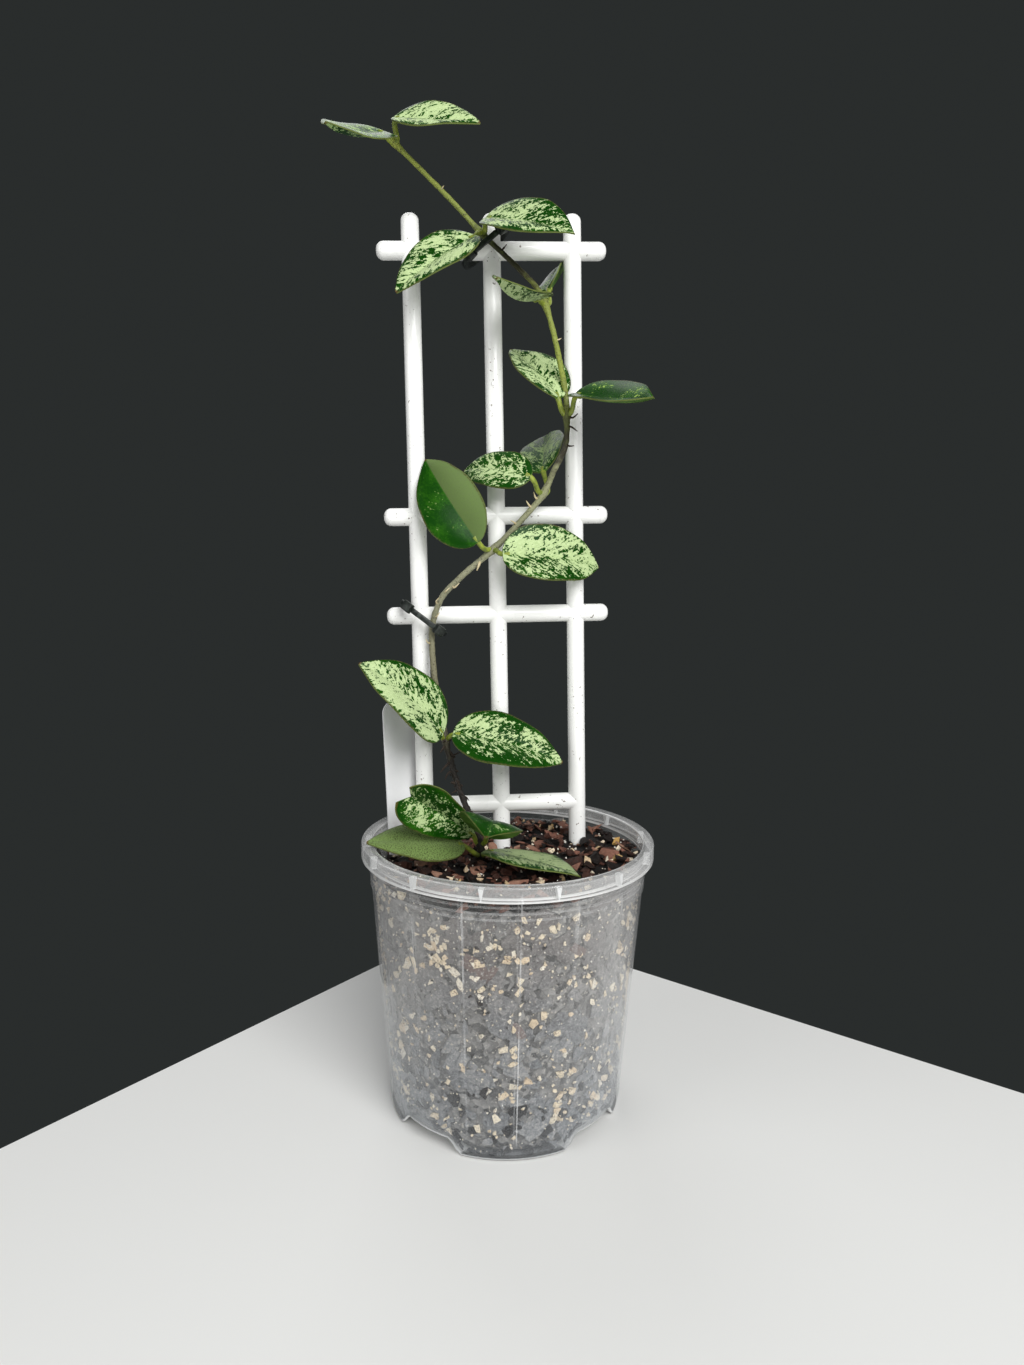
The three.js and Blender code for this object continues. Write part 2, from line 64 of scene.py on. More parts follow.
camera_data = bpy.data.cameras.new("camera")
camera_data.lens = focal_pixels * film_height / picture_pixels
camera_data.sensor_width = film_height
camera = into_scene("camera", camera_data)
camera_turn = Matrix((camera_side, camera_up, -ahead)).transposed().to_4x4()
camera.matrix_world = Matrix.Translation(camera_place) @ camera_turn
bpy.context.scene.camera = camera
bpy.context.scene.view_settings.view_transform = "Standard"

lamp_aim = Vector((0, 0, 0.2))
for name, place, width, power in (
    ("key lamp", (0.5, -1.1, 0.98), 0.9, 23),
    ("fill lamp", (-1.1, -0.7, 0.7), 0.8, 3.5),
    ("back lamp", (-0.3, 0.9, 1.1), 0.7, 2.5),
):
    lamp = bpy.data.lights.new(name, "AREA")
    lamp.shape = "SQUARE"
    lamp.size = width
    lamp.energy = power
    facing = (Vector(place) - lamp_aim).to_track_quat("Z", "Y").to_matrix().to_4x4()
    into_scene(name, lamp).matrix_world = Matrix.Translation(place) @ facing

world = bpy.data.worlds.new("studio")
world.use_nodes = True
bpy.context.scene.world = world
sky = world.node_tree.nodes["Background"]
sky.inputs["Color"].default_value = (0.96, 0.98, 1.0, 1)
sky.inputs["Strength"].default_value = 0.24
seen = world.node_tree.nodes.new("ShaderNodeLightPath")
shown = sky.outputs[0]
for ray, color in (("Is Glossy Ray", (0.06, 0.063, 0.066, 1)), ("Is Camera Ray", (0.023, 0.026, 0.0255, 1))):
    tinted = world.node_tree.nodes.new("ShaderNodeBackground")
    tinted.inputs["Color"].default_value = color
    either = world.node_tree.nodes.new("ShaderNodeMixShader")
    world.node_tree.links.new(seen.outputs[ray], either.inputs[0])
    world.node_tree.links.new(shown, either.inputs[1])
    world.node_tree.links.new(tinted.outputs[0], either.inputs[2])
    shown = either.outputs[0]
world.node_tree.links.new(shown, world.node_tree.nodes["World Output"].inputs[0])


def new_material(name, settings):
    material = bpy.data.materials.new(name)
    material.use_nodes = True
    shader = material.node_tree.nodes["Principled BSDF"]
    for socket, value in settings.items():
        shader.inputs[socket].default_value = value
    return material, material.node_tree, shader


def as_mesh(shape, name, materials=()):
    mesh = bpy.data.meshes.new(name)
    shape.to_mesh(mesh)
    shape.free()
    for material in materials:
        mesh.materials.append(material)
    return mesh


floor_material = new_material("pale floor", {"Base Color": (0.80, 0.80, 0.78, 1), "Roughness": 0.55})[0]
floor_shape = bmesh.new()
bmesh.ops.create_grid(floor_shape, x_segments=1, y_segments=1, size=1)
bmesh.ops.translate(floor_shape, vec=(-1, -1, 0), verts=floor_shape.verts)
floor_turn = Matrix.Rotation(math.radians(53), 3, "Z")
bmesh.ops.rotate(floor_shape, matrix=floor_turn, verts=floor_shape.verts)
bmesh.ops.translate(floor_shape, vec=(-0.022, 0.203, -0.0002), verts=floor_shape.verts)
floor = into_scene("floor", as_mesh(floor_shape, "floor", [floor_material]))

# ---------------------------------------------------------------- pot
# A clear nursery pot, one thin injection moulding in slightly milky polypropylene. Its flat rim
# turns down in a skirt with small gussets; fine stacking rings and rib lines mark the wall, and
# four low arches between the feet let water out through a slot each.

millimetre = 0.001
crease_degrees = 38
spin_steps = 144
pot_wall = 1.2
pot_rings = (108.3, 110.8, 113.4)
gusset_count = 13
first_gusset = -99
arch_centres = (50, 140, 230, 320)
arch_height = 6
arch_reach = 40
arch_fade = 16
arch_turn = 24
arch_half_width = 18
arch_slope = 7
slot_half_turn = 2.5


def wall_radius(height):
    if height < 10:
        return 53.4 - 1.8 * (1 - height / 10) ** 2
    if height < 104:
        return 53.4 + 7.2 * (height - 10) / 94
    return 61.2


def arch_lift(x, y, z):
    lift = 0
    for centre in arch_centres:
        turn = math.radians(centre)
        forward = x * math.cos(turn) + y * math.sin(turn)
        aside = abs(y * math.cos(turn) - x * math.sin(turn))
        if forward > arch_reach:
            share = min(1, max(0, (arch_half_width - aside) / arch_slope))
            lift = max(lift, arch_height * share * share * (3 - 2 * share))
    return lift * min(1, max(0, (arch_fade - z) / (arch_fade - pot_wall)))


def turn_from(angle, centre):
    return (angle - centre + 180) % 360 - 180


def spun(profile):
    shape = bmesh.new()
    line = [shape.verts.new((radius, 0, height)) for radius, height in profile]
    edges = [shape.edges.new(pair) for pair in zip(line, line[1:])]
    bmesh.ops.spin(
        shape, geom=line + edges, cent=(0, 0, 0), axis=(0, 0, 1), angle=2 * math.pi, steps=spin_steps,
        use_merge=True,
    )
    bmesh.ops.remove_doubles(shape, verts=shape.verts, dist=0.001)
    bmesh.ops.recalc_face_normals(shape, faces=shape.faces)
    return shape


def raise_arches(shape):
    for vert in shape.verts:
        x, y, z = vert.co
        angle = math.degrees(math.atan2(y, x))
        if abs(math.hypot(x, y) - arch_reach) < 0.3:
            for centre in arch_centres:
                if abs(turn_from(angle, centre)) < arch_turn:
                    stretch = 1 / math.cos(math.radians(turn_from(angle, centre)))
                    vert.co.x *= stretch
                    vert.co.y *= stretch
        vert.co.z += arch_lift(vert.co.x, vert.co.y, z)


def make_piece(shape, name, slot, materials, *nodes):
    bmesh.ops.scale(shape, vec=(millimetre, millimetre, millimetre), verts=shape.verts)
    mesh = as_mesh(shape, name, materials)
    mesh.shade_smooth()
    mesh.set_sharp_from_angle(angle=math.radians(crease_degrees))
    piece = into_scene(name, mesh)
    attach(piece, "root")
    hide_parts(*nodes)


# Every node below goes into tree, the node tree of the material that is being made.
def add(kind, inputs, **settings):
    node = tree.nodes.new(kind)
    for name, value in settings.items():
        setattr(node, name, value)
    for name, value in inputs.items():
        if isinstance(value, bpy.types.NodeSocket):
            tree.links.new(value, node.inputs[name])
        else:
            node.inputs[name].default_value = value
    return node


def reckon(operation, *values):
    node = add("ShaderNodeMath", dict(enumerate(values)), operation=operation)
    return node.outputs[0]


def eased(value, low, high, first=0.0, last=1.0):
    inputs = {"Value": value, "From Min": low, "From Max": high, "To Min": first, "To Max": last}
    return add("ShaderNodeMapRange", inputs, interpolation_type="SMOOTHSTEP").outputs[0]


def mottle(vector, scale, detail=3.0, roughness=0.55, distortion=0.0):
    inputs = {"Vector": vector, "Scale": scale, "Detail": detail, "Roughness": roughness}
    inputs["Distortion"] = distortion
    return add("ShaderNodeTexNoise", inputs).outputs[0]


def blend(share, first, second):
    return add("ShaderNodeMix", {0: share, 6: first, 7: second}, data_type="RGBA").outputs[2]


def times(first, second):
    return reckon("MULTIPLY", first, second)


def plus(first, second):
    return reckon("ADD", first, second)


def minus(first, second):
    return reckon("SUBTRACT", first, second)


def most(first, second):
    return reckon("MAXIMUM", first, second)


def apart(value, centre):
    return reckon("ABSOLUTE", minus(value, centre))


def object_spot():
    return tree.nodes.new("ShaderNodeTexCoord").outputs["Object"]


def parts_of(vector):
    return add("ShaderNodeSeparateXYZ", {0: vector}).outputs


def from_axis(place):
    squares = [reckon("POWER", place[axis], 2.0) for axis in (0, 1)]
    return reckon("SQRT", plus(*squares))


def painted(name):
    return add("ShaderNodeAttribute", {}, attribute_name=name).outputs["Fac"]


def dress(shader, color, roughness, relief, depth, strength=1.0):
    tree.links.new(color, shader.inputs["Base Color"])
    if roughness is not None:
        tree.links.new(roughness, shader.inputs["Roughness"])
    bump = add("ShaderNodeBump", {"Height": relief, "Distance": depth, "Strength": strength})
    tree.links.new(bump.outputs[0], shader.inputs["Normal"])


wall_heights = [1.6, 3, 4.5, 6, 7.5, 9, 10.5, 12, 13.5, 15, 17, 30, 45, 60, 75, 90, 103.5]
base_radii = [0, 22, 34, 39.9, 40.1, 44.5, 49]
outside = [(radius, 0) for radius in base_radii] + [(50.9, 0), (51.5, 0.2), (51.85, 0.7)]
outside += [(wall_radius(height), height) for height in wall_heights]
outside += [(61.1, 104.3), (61.2, 104.8)]
for ring in pot_rings:
    outside += [(61.2, ring - 0.4), (61.26, ring - 0.12), (61.26, ring + 0.12), (61.2, ring + 0.4)]
rim = [(61.2, 121.5), (61.5, 121.8), (63.5, 121.8), (63.8, 121.5), (63.8, 116.85), (64.05, 116.6)]
rim += [(64.75, 116.6), (65, 116.85), (65, 122.5), (64.85, 122.85), (64.5, 123), (60.5, 123)]
rim += [(60.15, 122.85), (60, 122.5), (60, 105.2), (59.6, 104.3)]
inside = [(wall_radius(height) - pot_wall, height) for height in reversed(wall_heights[1:])]
inside += [(50.9, 2.1), (50.3, 1.45)] + [(radius, pot_wall) for radius in reversed(base_radii)]
pot_shape = spun(outside + rim + inside)
# Painted highlight: the outer edge of the foot is marked here, and the gussets further down, so that they are
# drawn whiter and more opaque than the wall.
painted_gleam_layer = pot_shape.verts.layers.float.new("painted_gleam")
for vert in pot_shape.verts:
    if vert.co.z < 1.1 and math.hypot(vert.co.x, vert.co.y) > 50.5:
        vert[painted_gleam_layer] = 1

for centre in arch_centres:
    slot_faces = []
    for face in pot_shape.faces:
        middle = face.calc_center_median()
        angle = math.degrees(math.atan2(middle.y, middle.x))
        on_base = middle.z < 1.3 and 40.1 < math.hypot(middle.x, middle.y) < 49
        if on_base and abs(turn_from(angle, centre)) < slot_half_turn:
            slot_faces.append(face)
    bmesh.ops.delete(pot_shape, geom=slot_faces, context="FACES")
    bmesh.ops.bridge_loops(pot_shape, edges=[edge for edge in pot_shape.edges if edge.is_boundary])
raise_arches(pot_shape)

for step in range(gusset_count):
    gusset = bmesh.ops.create_cube(pot_shape, size=1)["verts"]
    for vert in gusset:
        vert[painted_gleam_layer] = 1
        if vert.co.z < 0:
            vert.co.y *= 0.12
    bmesh.ops.scale(pot_shape, vec=(2.6, 2.2, 5.4), verts=gusset)
    bmesh.ops.translate(pot_shape, vec=(62.5, 0, 119.1), verts=gusset)
    turn = Matrix.Rotation(math.radians(first_gusset + step * 360 / gusset_count), 3, "Z")
    bmesh.ops.rotate(pot_shape, matrix=turn, verts=gusset)

pot_plastic, tree, shader = new_material(
    "milky clear plastic",
    {"Metallic": 0.0, "IOR": 1.5, "Coat Weight": 1.0, "Coat Roughness": 0.06, "Coat IOR": 2.1},
)
spot = object_spot()
place = parts_of(spot)
height = place[2]
radius = from_axis(place)
rib_turn = math.radians(11.25)
around = minus(reckon("ARCTAN2", place[1], place[0]), math.radians(5))
beside = reckon("WRAP", around, rib_turn, -rib_turn)
lines = 0.0
for centre, reach, strength in ((0.011, 0.0062, 1.0), (-0.011, 0.0058, 0.4)):
    lines = most(lines, eased(apart(beside, centre), reach, 0.0030, 0.0, strength))
for fade in (
    eased(height, 0.006, 0.012),
    eased(height, 0.119, 0.1185),
    eased(mottle(spot, 60, 2), 0.35, 0.65, 0.15, 1.0),
):
    lines = times(lines, fade)
for ring in pot_rings:
    from_ring = apart(height, ring / 1000)
    lines = most(lines, eased(from_ring, 0.0003, 0.0001, 0.0, 0.8))
# Painted highlights: thin lines along the rim's outer and inner top edges and along the skirt's lower edge
# are made more opaque, so the milky plastic shows as bright edge lines there.
top_face = eased(height, 0.1220, 0.1226)
corners = times(top_face, eased(radius, 0.0642, 0.0646, 0.0, 0.15))
corners = most(corners, times(top_face, eased(radius, 0.0606, 0.0602)))
corners = most(corners, eased(apart(height, 0.1168), 0.0005, 0.0002))
skirt = eased(height, 0.1160, 0.1168)
painted_gleam = painted("painted_gleam")
scuffs = eased(mottle(spot, 420, 4, 0.7), 0.5, 0.72)
haze = eased(height, 0.075, 0.004)
facing_away = add("ShaderNodeLayerWeight", {"Blend": 0.5}).outputs["Facing"]
grazing = reckon("POWER", facing_away, 1.8)
# Painted contact shadow: the lowest millimetre of the wall, where the pot stands on the floor, turns dark
# grey and more opaque.
painted_contact_shadow = eased(height, 0.0009, 0.0003)
alpha = plus(times(mottle(spot, 38, 4), 0.025), 0.002)
for mask, share in (
    (scuffs, 0.02), (lines, 0.24), (skirt, 0.11), (corners, 0.7), (painted_gleam, 0.6), (painted_contact_shadow, 0.5), (grazing, 0.5),
):
    alpha = plus(alpha, times(mask, share))
tree.links.new(alpha, shader.inputs["Alpha"])
tint = blend(haze, (0.80, 0.80, 0.79, 1), (0.72, 0.76, 0.80, 1))
# Rib and ring lines are whitened, and so are the foot's edge and the gussets, as a painted highlight.
tint = blend(most(lines, painted_gleam), tint, (0.94, 0.95, 0.95, 1))
# The painted contact shadow darkens the foot to grey.
tint = blend(painted_contact_shadow, tint, (0.05, 0.05, 0.05, 1))
polish = eased(mottle(spot, 90, 3), 0.3, 0.7, 0.16, 0.30)
ripple = plus(mottle(spot, 30, 2), times(lines, 0.25))
dress(shader, tint, polish, ripple, 0.0004, 0.6)
make_piece(pot_shape, "clear_pot", "pot_plastic", [pot_plastic], "pot")

# ---------------------------------------------------------------- potting mix
# A loose, chunky mix poured into the pot: flakes and chunks of dark pine bark with grains of pale
# pumice and white specks of perlite. It shows on top and, pressed flat, behind the clear wall.

mix_seed = random.Random(11)
between = mix_seed.uniform
pick = mix_seed.choice
mix_top = 113.5
core_floor = 2.2
core_gap = 2
lowest_chip = 1.4
legs = [(-38.3, 17.8), (-2.75, 20), (32.8, 22.2)]
vine_foot = (-12, -1)
label_foot = (-48.2, 19.2)


def mix_surface(x, y):
    return mix_top + 0.07 * x - 1.6 * math.hypot(x, y) / 70


core_heights = (5, 7, 9, 11, 13, 15, 17, 30, 50, 70, 90, 104)
core_profile = [(radius, core_floor) for radius in (0, 22, 39.4, 40.02, 43.5, 47)] + [(48.6, 3.2)]
core_profile += [(wall_radius(height) - pot_wall - core_gap, height) for height in core_heights]
core_profile += [(radius, 110) for radius in (57.6, 52, 44, 36, 28, 20, 12, 6, 0)]
core_shape = spun(core_profile)
raise_arches(core_shape)
for vert in core_shape.verts:
    if vert.co.z > 109:
        lumps = noise.noise(vert.co * 0.16) * 1.6
        vert.co.z = mix_surface(vert.co.x, vert.co.y) - 1.6 + lumps
core_mesh = as_mesh(core_shape, "core")
mix_shape = bmesh.new()
mix_shape.from_mesh(core_mesh)
tone_layer = mix_shape.verts.layers.float.new("tone")


def chip_mesh(name, corners, material_index):
    shape = bmesh.new()
    for _ in range(corners):
        corner = Vector([between(-1, 1) for _ in range(3)])
        corner *= between(0.72, 1) / max(abs(part) for part in corner)
        shape.verts.new(corner)
    bmesh.ops.convex_hull(shape, input=shape.verts)
    unused = [vert for vert in shape.verts if not vert.link_faces]
    bmesh.ops.delete(shape, geom=unused, context="VERTS")
    bmesh.ops.recalc_face_normals(shape, faces=shape.faces)
    for face in shape.faces:
        face.material_index = material_index
    return as_mesh(shape, name)


bark_chips = [chip_mesh("bark chip", mix_seed.randint(11, 17), 1) for _ in range(16)]
wall_chips = [chip_mesh("wall chip", mix_seed.randint(11, 17), 3) for _ in range(16)]
mineral_grains = [chip_mesh("grain", mix_seed.randint(9, 13), 2) for _ in range(10)]


def drop_chip(mesh, pose, tone, wall_gap=None):
    first = len(mix_shape.verts)
    mix_shape.from_mesh(mesh)
    mix_shape.verts.ensure_lookup_table()
    for vert in mix_shape.verts[first:]:
        vert.co = pose @ vert.co
        vert[tone_layer] = tone
        radius = math.hypot(vert.co.x, vert.co.y)
        room = wall_radius(vert.co.z) - pot_wall - (wall_gap or 0.15)
        if radius > room:
            vert.co.x *= room / radius
            vert.co.y *= room / radius
        if wall_gap:
            vert.co.z = max(vert.co.z, lowest_chip)
            vert.co.z += arch_lift(*vert.co)


def chip_turn(lean):
    turn = Matrix.Rotation(between(0, 2 * math.pi), 4, "Z")
    tip = Matrix.Rotation(mix_seed.gauss(0, lean), 4, "X") @ Matrix.Rotation(mix_seed.gauss(0, lean), 4, "Y")
    return turn @ tip


def on_top(mesh, longest, flatness, lean, sink, tone):
    while True:
        radius = 58.5 * math.sqrt(mix_seed.random())
        angle = between(0, 2 * math.pi)
        x, y = radius * math.cos(angle), radius * math.sin(angle)
        by_leg = any(math.hypot(x - leg[0], y - leg[1]) < 4.5 + longest * 0.3 for leg in legs)
        by_vine = math.hypot(x - vine_foot[0], y - vine_foot[1]) < 2.5
        past, beyond = x - label_foot[0], y - label_foot[1]
        by_label = abs(past * 0.707 - beyond * 0.707) < 1.6 and math.hypot(past, beyond) < 12
        if not (by_leg or by_vine or by_label):
            break
    size = Vector((longest, longest * between(0.5, 0.8), longest * flatness)) / 2
    middle = Matrix.Translation((x, y, mix_surface(x, y) + sink))
    drop_chip(mesh, middle @ chip_turn(lean) @ Matrix.Diagonal((*size, 1)), tone)


def on_wall(mesh, longest, flatness, height, wall_gap, tone, angle=None):
    if angle is None:
        angle = between(0, 2 * math.pi)
    thick = longest * flatness
    radius = wall_radius(height) - pot_wall - wall_gap - thick * 0.33
    out = Matrix.Rotation(angle, 4, "Z") @ Matrix.Translation((radius, 0, height))
    flat = Matrix.Rotation(math.pi / 2, 4, "Y") @ chip_turn(0.16)
    size = Vector((longest, longest * between(0.5, 0.85), thick)) / 2
    drop_chip(mesh, out @ flat @ Matrix.Diagonal((*size, 1)), tone, wall_gap)


for _ in range(760):
    longest = pick((3, 4, 4.5, 5, 6, 7.5, 9)) * between(0.8, 1.15)
    on_top(pick(bark_chips), longest, between(0.22, 0.5), 0.38,
           between(-1.3, 0.9), between(0.05, 0.95) ** 1.3)
for _ in range(70):
    on_top(pick(mineral_grains), between(1.6, 4.2), 0.7, 0.8, between(0.2, 1.3), between(0.25, 1))
for _ in range(150):
    on_top(pick(mineral_grains), between(0.6, 1.5), 0.8, 0.8, between(0.4, 1.5), between(0, 0.3))
for x, y, longest, tone in ((49, 14, 6.4, 1), (48, -7, 6, 0.95), (35, -13, 5, 0.8), (-11, -28, 4.6, 0.8),
                            (41, 5, 3.6, 0.85), (20, 2, 3.4, 0.5), (28, -24, 3.4, 0.6), (-36, 30, 5, 0.9)):
    size = Vector((longest, longest * 0.72, longest * 0.6)) / 2
    middle = Matrix.Translation((x, y, mix_surface(x, y) + 0.7))
    drop_chip(pick(mineral_grains), middle @ chip_turn(0.5) @ Matrix.Diagonal((*size, 1)), tone)
for _ in range(900):
    longest = pick((3, 4, 5, 6, 7, 9, 13, 17)) * between(0.8, 1.15)
    on_wall(pick(wall_chips), longest, between(0.1, 0.22), between(2.5, 111),
            between(0.35, 1.2), between(0, 1))
for _ in range(230):
    height = 2.5 + 30 * mix_seed.random() ** 2.2
    on_wall(pick(bark_chips), between(1.5, 8), 0.25, height, 0.1, between(0, 0.1))
for _ in range(60):
    on_wall(pick(bark_chips), between(0.8, 3), 0.3, between(20, 110), 0.1, between(0, 0.3))
for angle, height, longest in (
    (-101, 87, 17), (-84, 60, 9), (-60, 92, 8), (40, 70, 14), (150, 80, 15), (100, 50, 12),
):
    on_wall(pick(wall_chips), longest, 0.09, height, 0.12, 2, math.radians(angle))
for _ in range(80):
    angle = between(0, 2 * math.pi)
    height = 6 + 103 * mix_seed.random() ** 0.8
    for _ in range(mix_seed.randint(4, 11)):
        longest = 1.5 + 4.2 * mix_seed.random() ** 1.5
        on_wall(pick(mineral_grains), longest, 0.5, min(110, max(4, height + mix_seed.gauss(0, 5))),
                0.12, between(0.15, 0.7), angle + mix_seed.gauss(0, 0.08))
for _ in range(380):
    height = 4 + 106 * mix_seed.random() ** 0.85
    longest = 1.2 + 3.8 * mix_seed.random() ** 1.7
    on_wall(pick(mineral_grains), longest, 0.5, height, 0.12, between(0.15, 0.7))
for _ in range(1300):
    on_wall(pick(mineral_grains), between(0.4, 1.2), 0.7, between(3, 110), 0.1, between(0, 0.4))
for spare in bark_chips + wall_chips + mineral_grains + [core_mesh]:
    bpy.data.meshes.remove(spare)


def swing(noise_value, amount):
    return times(minus(noise_value, 0.5), amount)


def ramp(value, *colors):
    made = add("ShaderNodeValToRGB", {"Fac": value})
    stops = made.color_ramp.elements
    stops[0].position, stops[0].color = colors[0]
    stops[1].position, stops[1].color = colors[-1]
    for position, color in colors[1:-1]:
        stops.new(position).color = color
    return made.outputs[0]


crumb, tree, shader = new_material("fine crumbs", {"Roughness": 0.85})
spot = object_spot()
place = parts_of(spot)
cells = add("ShaderNodeTexVoronoi", {"Vector": spot, "Scale": 420.0}).outputs
grain_tone = parts_of(cells["Color"])[0]
dark = blend(grain_tone, (0.05, 0.05, 0.05, 1), (0.27, 0.265, 0.255, 1))
pale = eased(mottle(spot, 900, 2), 0.62, 0.68)
dark = blend(pale, dark, (0.45, 0.42, 0.37, 1))
# Painted shade: the top of the core, seen in the gaps between the chips on top, is drawn nearly black.
inside_wall = eased(from_axis(place), 0.0572, 0.0566)
painted_gap_shade = times(eased(place[2], 0.104, 0.109), inside_wall)
color = blend(painted_gap_shade, dark, (0.005, 0.004, 0.0035, 1))
dress(shader, color, None, cells["Distance"], 0.0006)

bark, tree, shader = new_material("pine bark", {"Specular IOR Level": 0.3})
spot = object_spot()
fibre = mottle(spot, 520, 5, 0.7, 1.2)
color = ramp(
    plus(painted("tone"), swing(fibre, 0.55)),
    (0.0, (0.004, 0.0026, 0.002, 1)),
    (0.3, (0.014, 0.006, 0.004, 1)),
    (0.6, (0.085, 0.031, 0.020, 1)),
    (0.82, (0.26, 0.115, 0.078, 1)),
    (1.0, (0.36, 0.21, 0.14, 1)),
)
dust = eased(mottle(spot, 1500, 2), 0.64, 0.72, 0.0, 0.5)
color = blend(dust, color, (0.16, 0.125, 0.10, 1))
dress(shader, color, eased(fibre, 0.3, 0.7, 0.42, 0.75), fibre, 0.0009)

dusty_bark, tree, shader = new_material("dusty bark behind the wall", {"Roughness": 0.8})
spot = object_spot()
tone = painted("tone")
fibre = mottle(spot, 640, 4, 0.85, 0.3)
shade = plus(times(reckon("MINIMUM", tone, 1.0), 0.35), 0.32)
color = ramp(
    plus(shade, swing(fibre, 2.6)),
    (0.0, (0.060, 0.062, 0.066, 1)),
    (0.3, (0.135, 0.143, 0.152, 1)),
    (0.6, (0.220, 0.226, 0.234, 1)),
    (1.0, (0.40, 0.39, 0.37, 1)),
)
upper = eased(parts_of(spot)[2], 0.045, 0.105, 0.0, 0.6)
color = blend(upper, color, (0.130, 0.107, 0.093, 1))
color = blend(eased(tone, 1.2, 1.6, 0.0, 0.75), color, (0.150, 0.100, 0.086, 1))
dust = eased(mottle(spot, 1000, 3, 0.7), 0.57, 0.66, 0.0, 0.8)
color = blend(dust, color, (0.46, 0.455, 0.435, 1))
dress(shader, color, None, fibre, 0.0006)

mineral, tree, shader = new_material("pumice and perlite", {"Roughness": 0.8})
pits = mottle(object_spot(), 1400, 4, 0.65)
color = ramp(
    painted("tone"),
    (0.0, (0.88, 0.86, 0.80, 1)),
    (0.35, (0.86, 0.75, 0.56, 1)),
    (0.75, (0.72, 0.56, 0.38, 1)),
    (1.0, (0.60, 0.36, 0.10, 1)),
)
color = blend(eased(pits, 0.50, 0.36, 0.0, 0.8), color, (0.20, 0.13, 0.08, 1))
dress(shader, color, None, pits, 0.0007)
make_piece(mix_shape, "bark_mix", "potting_mix", [crumb, bark, mineral, dusty_bark], "potting_mix")

# ---------------------------------------------------------------- trellis
# A white ladder trellis, one moulding of three round uprights and four round rungs. The bars meet
# in plain crosses, their ends are round, and a gate mark is left on the middle upright.


def turn_by(degrees, axis):
    return Matrix.Rotation(math.radians(degrees), 4, axis)


def soften(shape, edges, offset, segments, **limits):
    return bmesh.ops.bevel(
        shape, geom=edges, offset=offset, segments=segments, affect="EDGES", profile=0.5, material=-1,
        **limits,
    )["verts"]


trellis_foot = Vector((-2.75, 20, 115))
trellis_pose = Matrix.Translation(trellis_foot) @ turn_by(3.6, "Z") @ turn_by(-1.5, "Y") @ turn_by(-2.2, "X")
bar_radius = 3.95
bar_spacing = 35.6
low_rung, third_rung, second_rung, top_rung = 17.6, 106, 150.4, 265.4
trellis_shape = bmesh.new()


def round_bar(start, end):
    start, end = Vector(start), Vector(end)
    made = bmesh.ops.create_cone(
        trellis_shape, cap_ends=True, segments=40, radius1=bar_radius, radius2=bar_radius,
        depth=(end - start).length,
    )["verts"]
    edges = {edge for vert in made for edge in vert.link_edges}
    ends = [edge for edge in edges if abs(edge.verts[0].co.z - edge.verts[1].co.z) < 1]
    softened = soften(trellis_shape, ends, 3.3, 7, clamp_overlap=True)
    verts = {*softened, *(vert for vert in made if vert.is_valid)}
    facing = (end - start).to_track_quat("Z", "Y").to_matrix().to_4x4()
    bmesh.ops.transform(
        trellis_shape, matrix=trellis_pose @ Matrix.Translation((start + end) / 2) @ facing, verts=list(verts)
    )


for side in (-1, 0, 1):
    round_bar((side * bar_spacing, 0, -72), (side * bar_spacing, 0, 281))
round_bar((-38.95, 0, low_rung), (38.95, 0, low_rung))
for rung in (third_rung, second_rung, top_rung):
    round_bar((-50.6, 0, rung), (50.6, 0, rung))
gate = bmesh.ops.create_cone(
    trellis_shape, cap_ends=True, segments=20, radius1=1.15, radius2=0.85, depth=0.5
)["verts"]
gate_place = Matrix.Translation((-0.4, -bar_radius - 0.02, 208)) @ turn_by(90, "X")
bmesh.ops.transform(trellis_shape, matrix=trellis_pose @ gate_place, verts=gate)

trellis_plastic, tree, shader = new_material(
    "white trellis plastic", {"IOR": 1.5, "Coat Weight": 0.15, "Coat Roughness": 0.12}
)
spot = object_spot()
flow = mottle(spot, 45, 3)
white = blend(flow, (0.90, 0.90, 0.87, 1), (0.94, 0.94, 0.92, 1))
dirty = eased(mottle(spot, 55, 2), 0.42, 0.56)
specks = times(eased(mottle(spot, 620, 2), 0.66, 0.72), dirty)
white = blend(specks, white, (0.16, 0.13, 0.10, 1))
polish = eased(flow, 0.3, 0.7, 0.24, 0.36)
dress(shader, white, polish, mottle(spot, 160, 3), 0.00012, 0.6)
make_piece(trellis_shape, "ladder_trellis", "trellis_plastic", [trellis_plastic], "trellis")

# ---------------------------------------------------------------- plant label
# A bare white plastic tag, punched from thin sheet with a round-cornered top and a pointed foot,
# pushed into the mix at the back left.


def thicken(shape, faces, height):
    raised = bmesh.ops.extrude_face_region(shape, geom=faces)["geom"]
    verts = [part for part in raised if isinstance(part, bmesh.types.BMVert)]
    bmesh.ops.translate(shape, vec=(0, 0, height), verts=verts)


label_shape = bmesh.new()
outline = [(-10, -111), (-1.5, -125), (1.5, -125), (10, -111)]
for centre, first in ((5, 0), (-5, 90)):
    for step in range(7):
        turn = math.radians(first + 15 * step)
        outline.append((centre + 5 * math.cos(turn), -5 + 5 * math.sin(turn)))
tag = label_shape.faces.new([label_shape.verts.new((x, y, -0.4)) for x, y in outline])
thicken(label_shape, [tag], 0.8)
bmesh.ops.recalc_face_normals(label_shape, faces=label_shape.faces)
flat_edges = [edge for edge in label_shape.edges if abs(edge.verts[0].co.z - edge.verts[1].co.z) < 0.1]
soften(label_shape, flat_edges, 0.12, 2)
label_pose = Matrix.Translation((-50.6, 19.2, 181)) @ turn_by(-2.4, "Y") @ turn_by(45, "Z") @ turn_by(90, "X")
bmesh.ops.transform(label_shape, matrix=label_pose, verts=label_shape.verts)

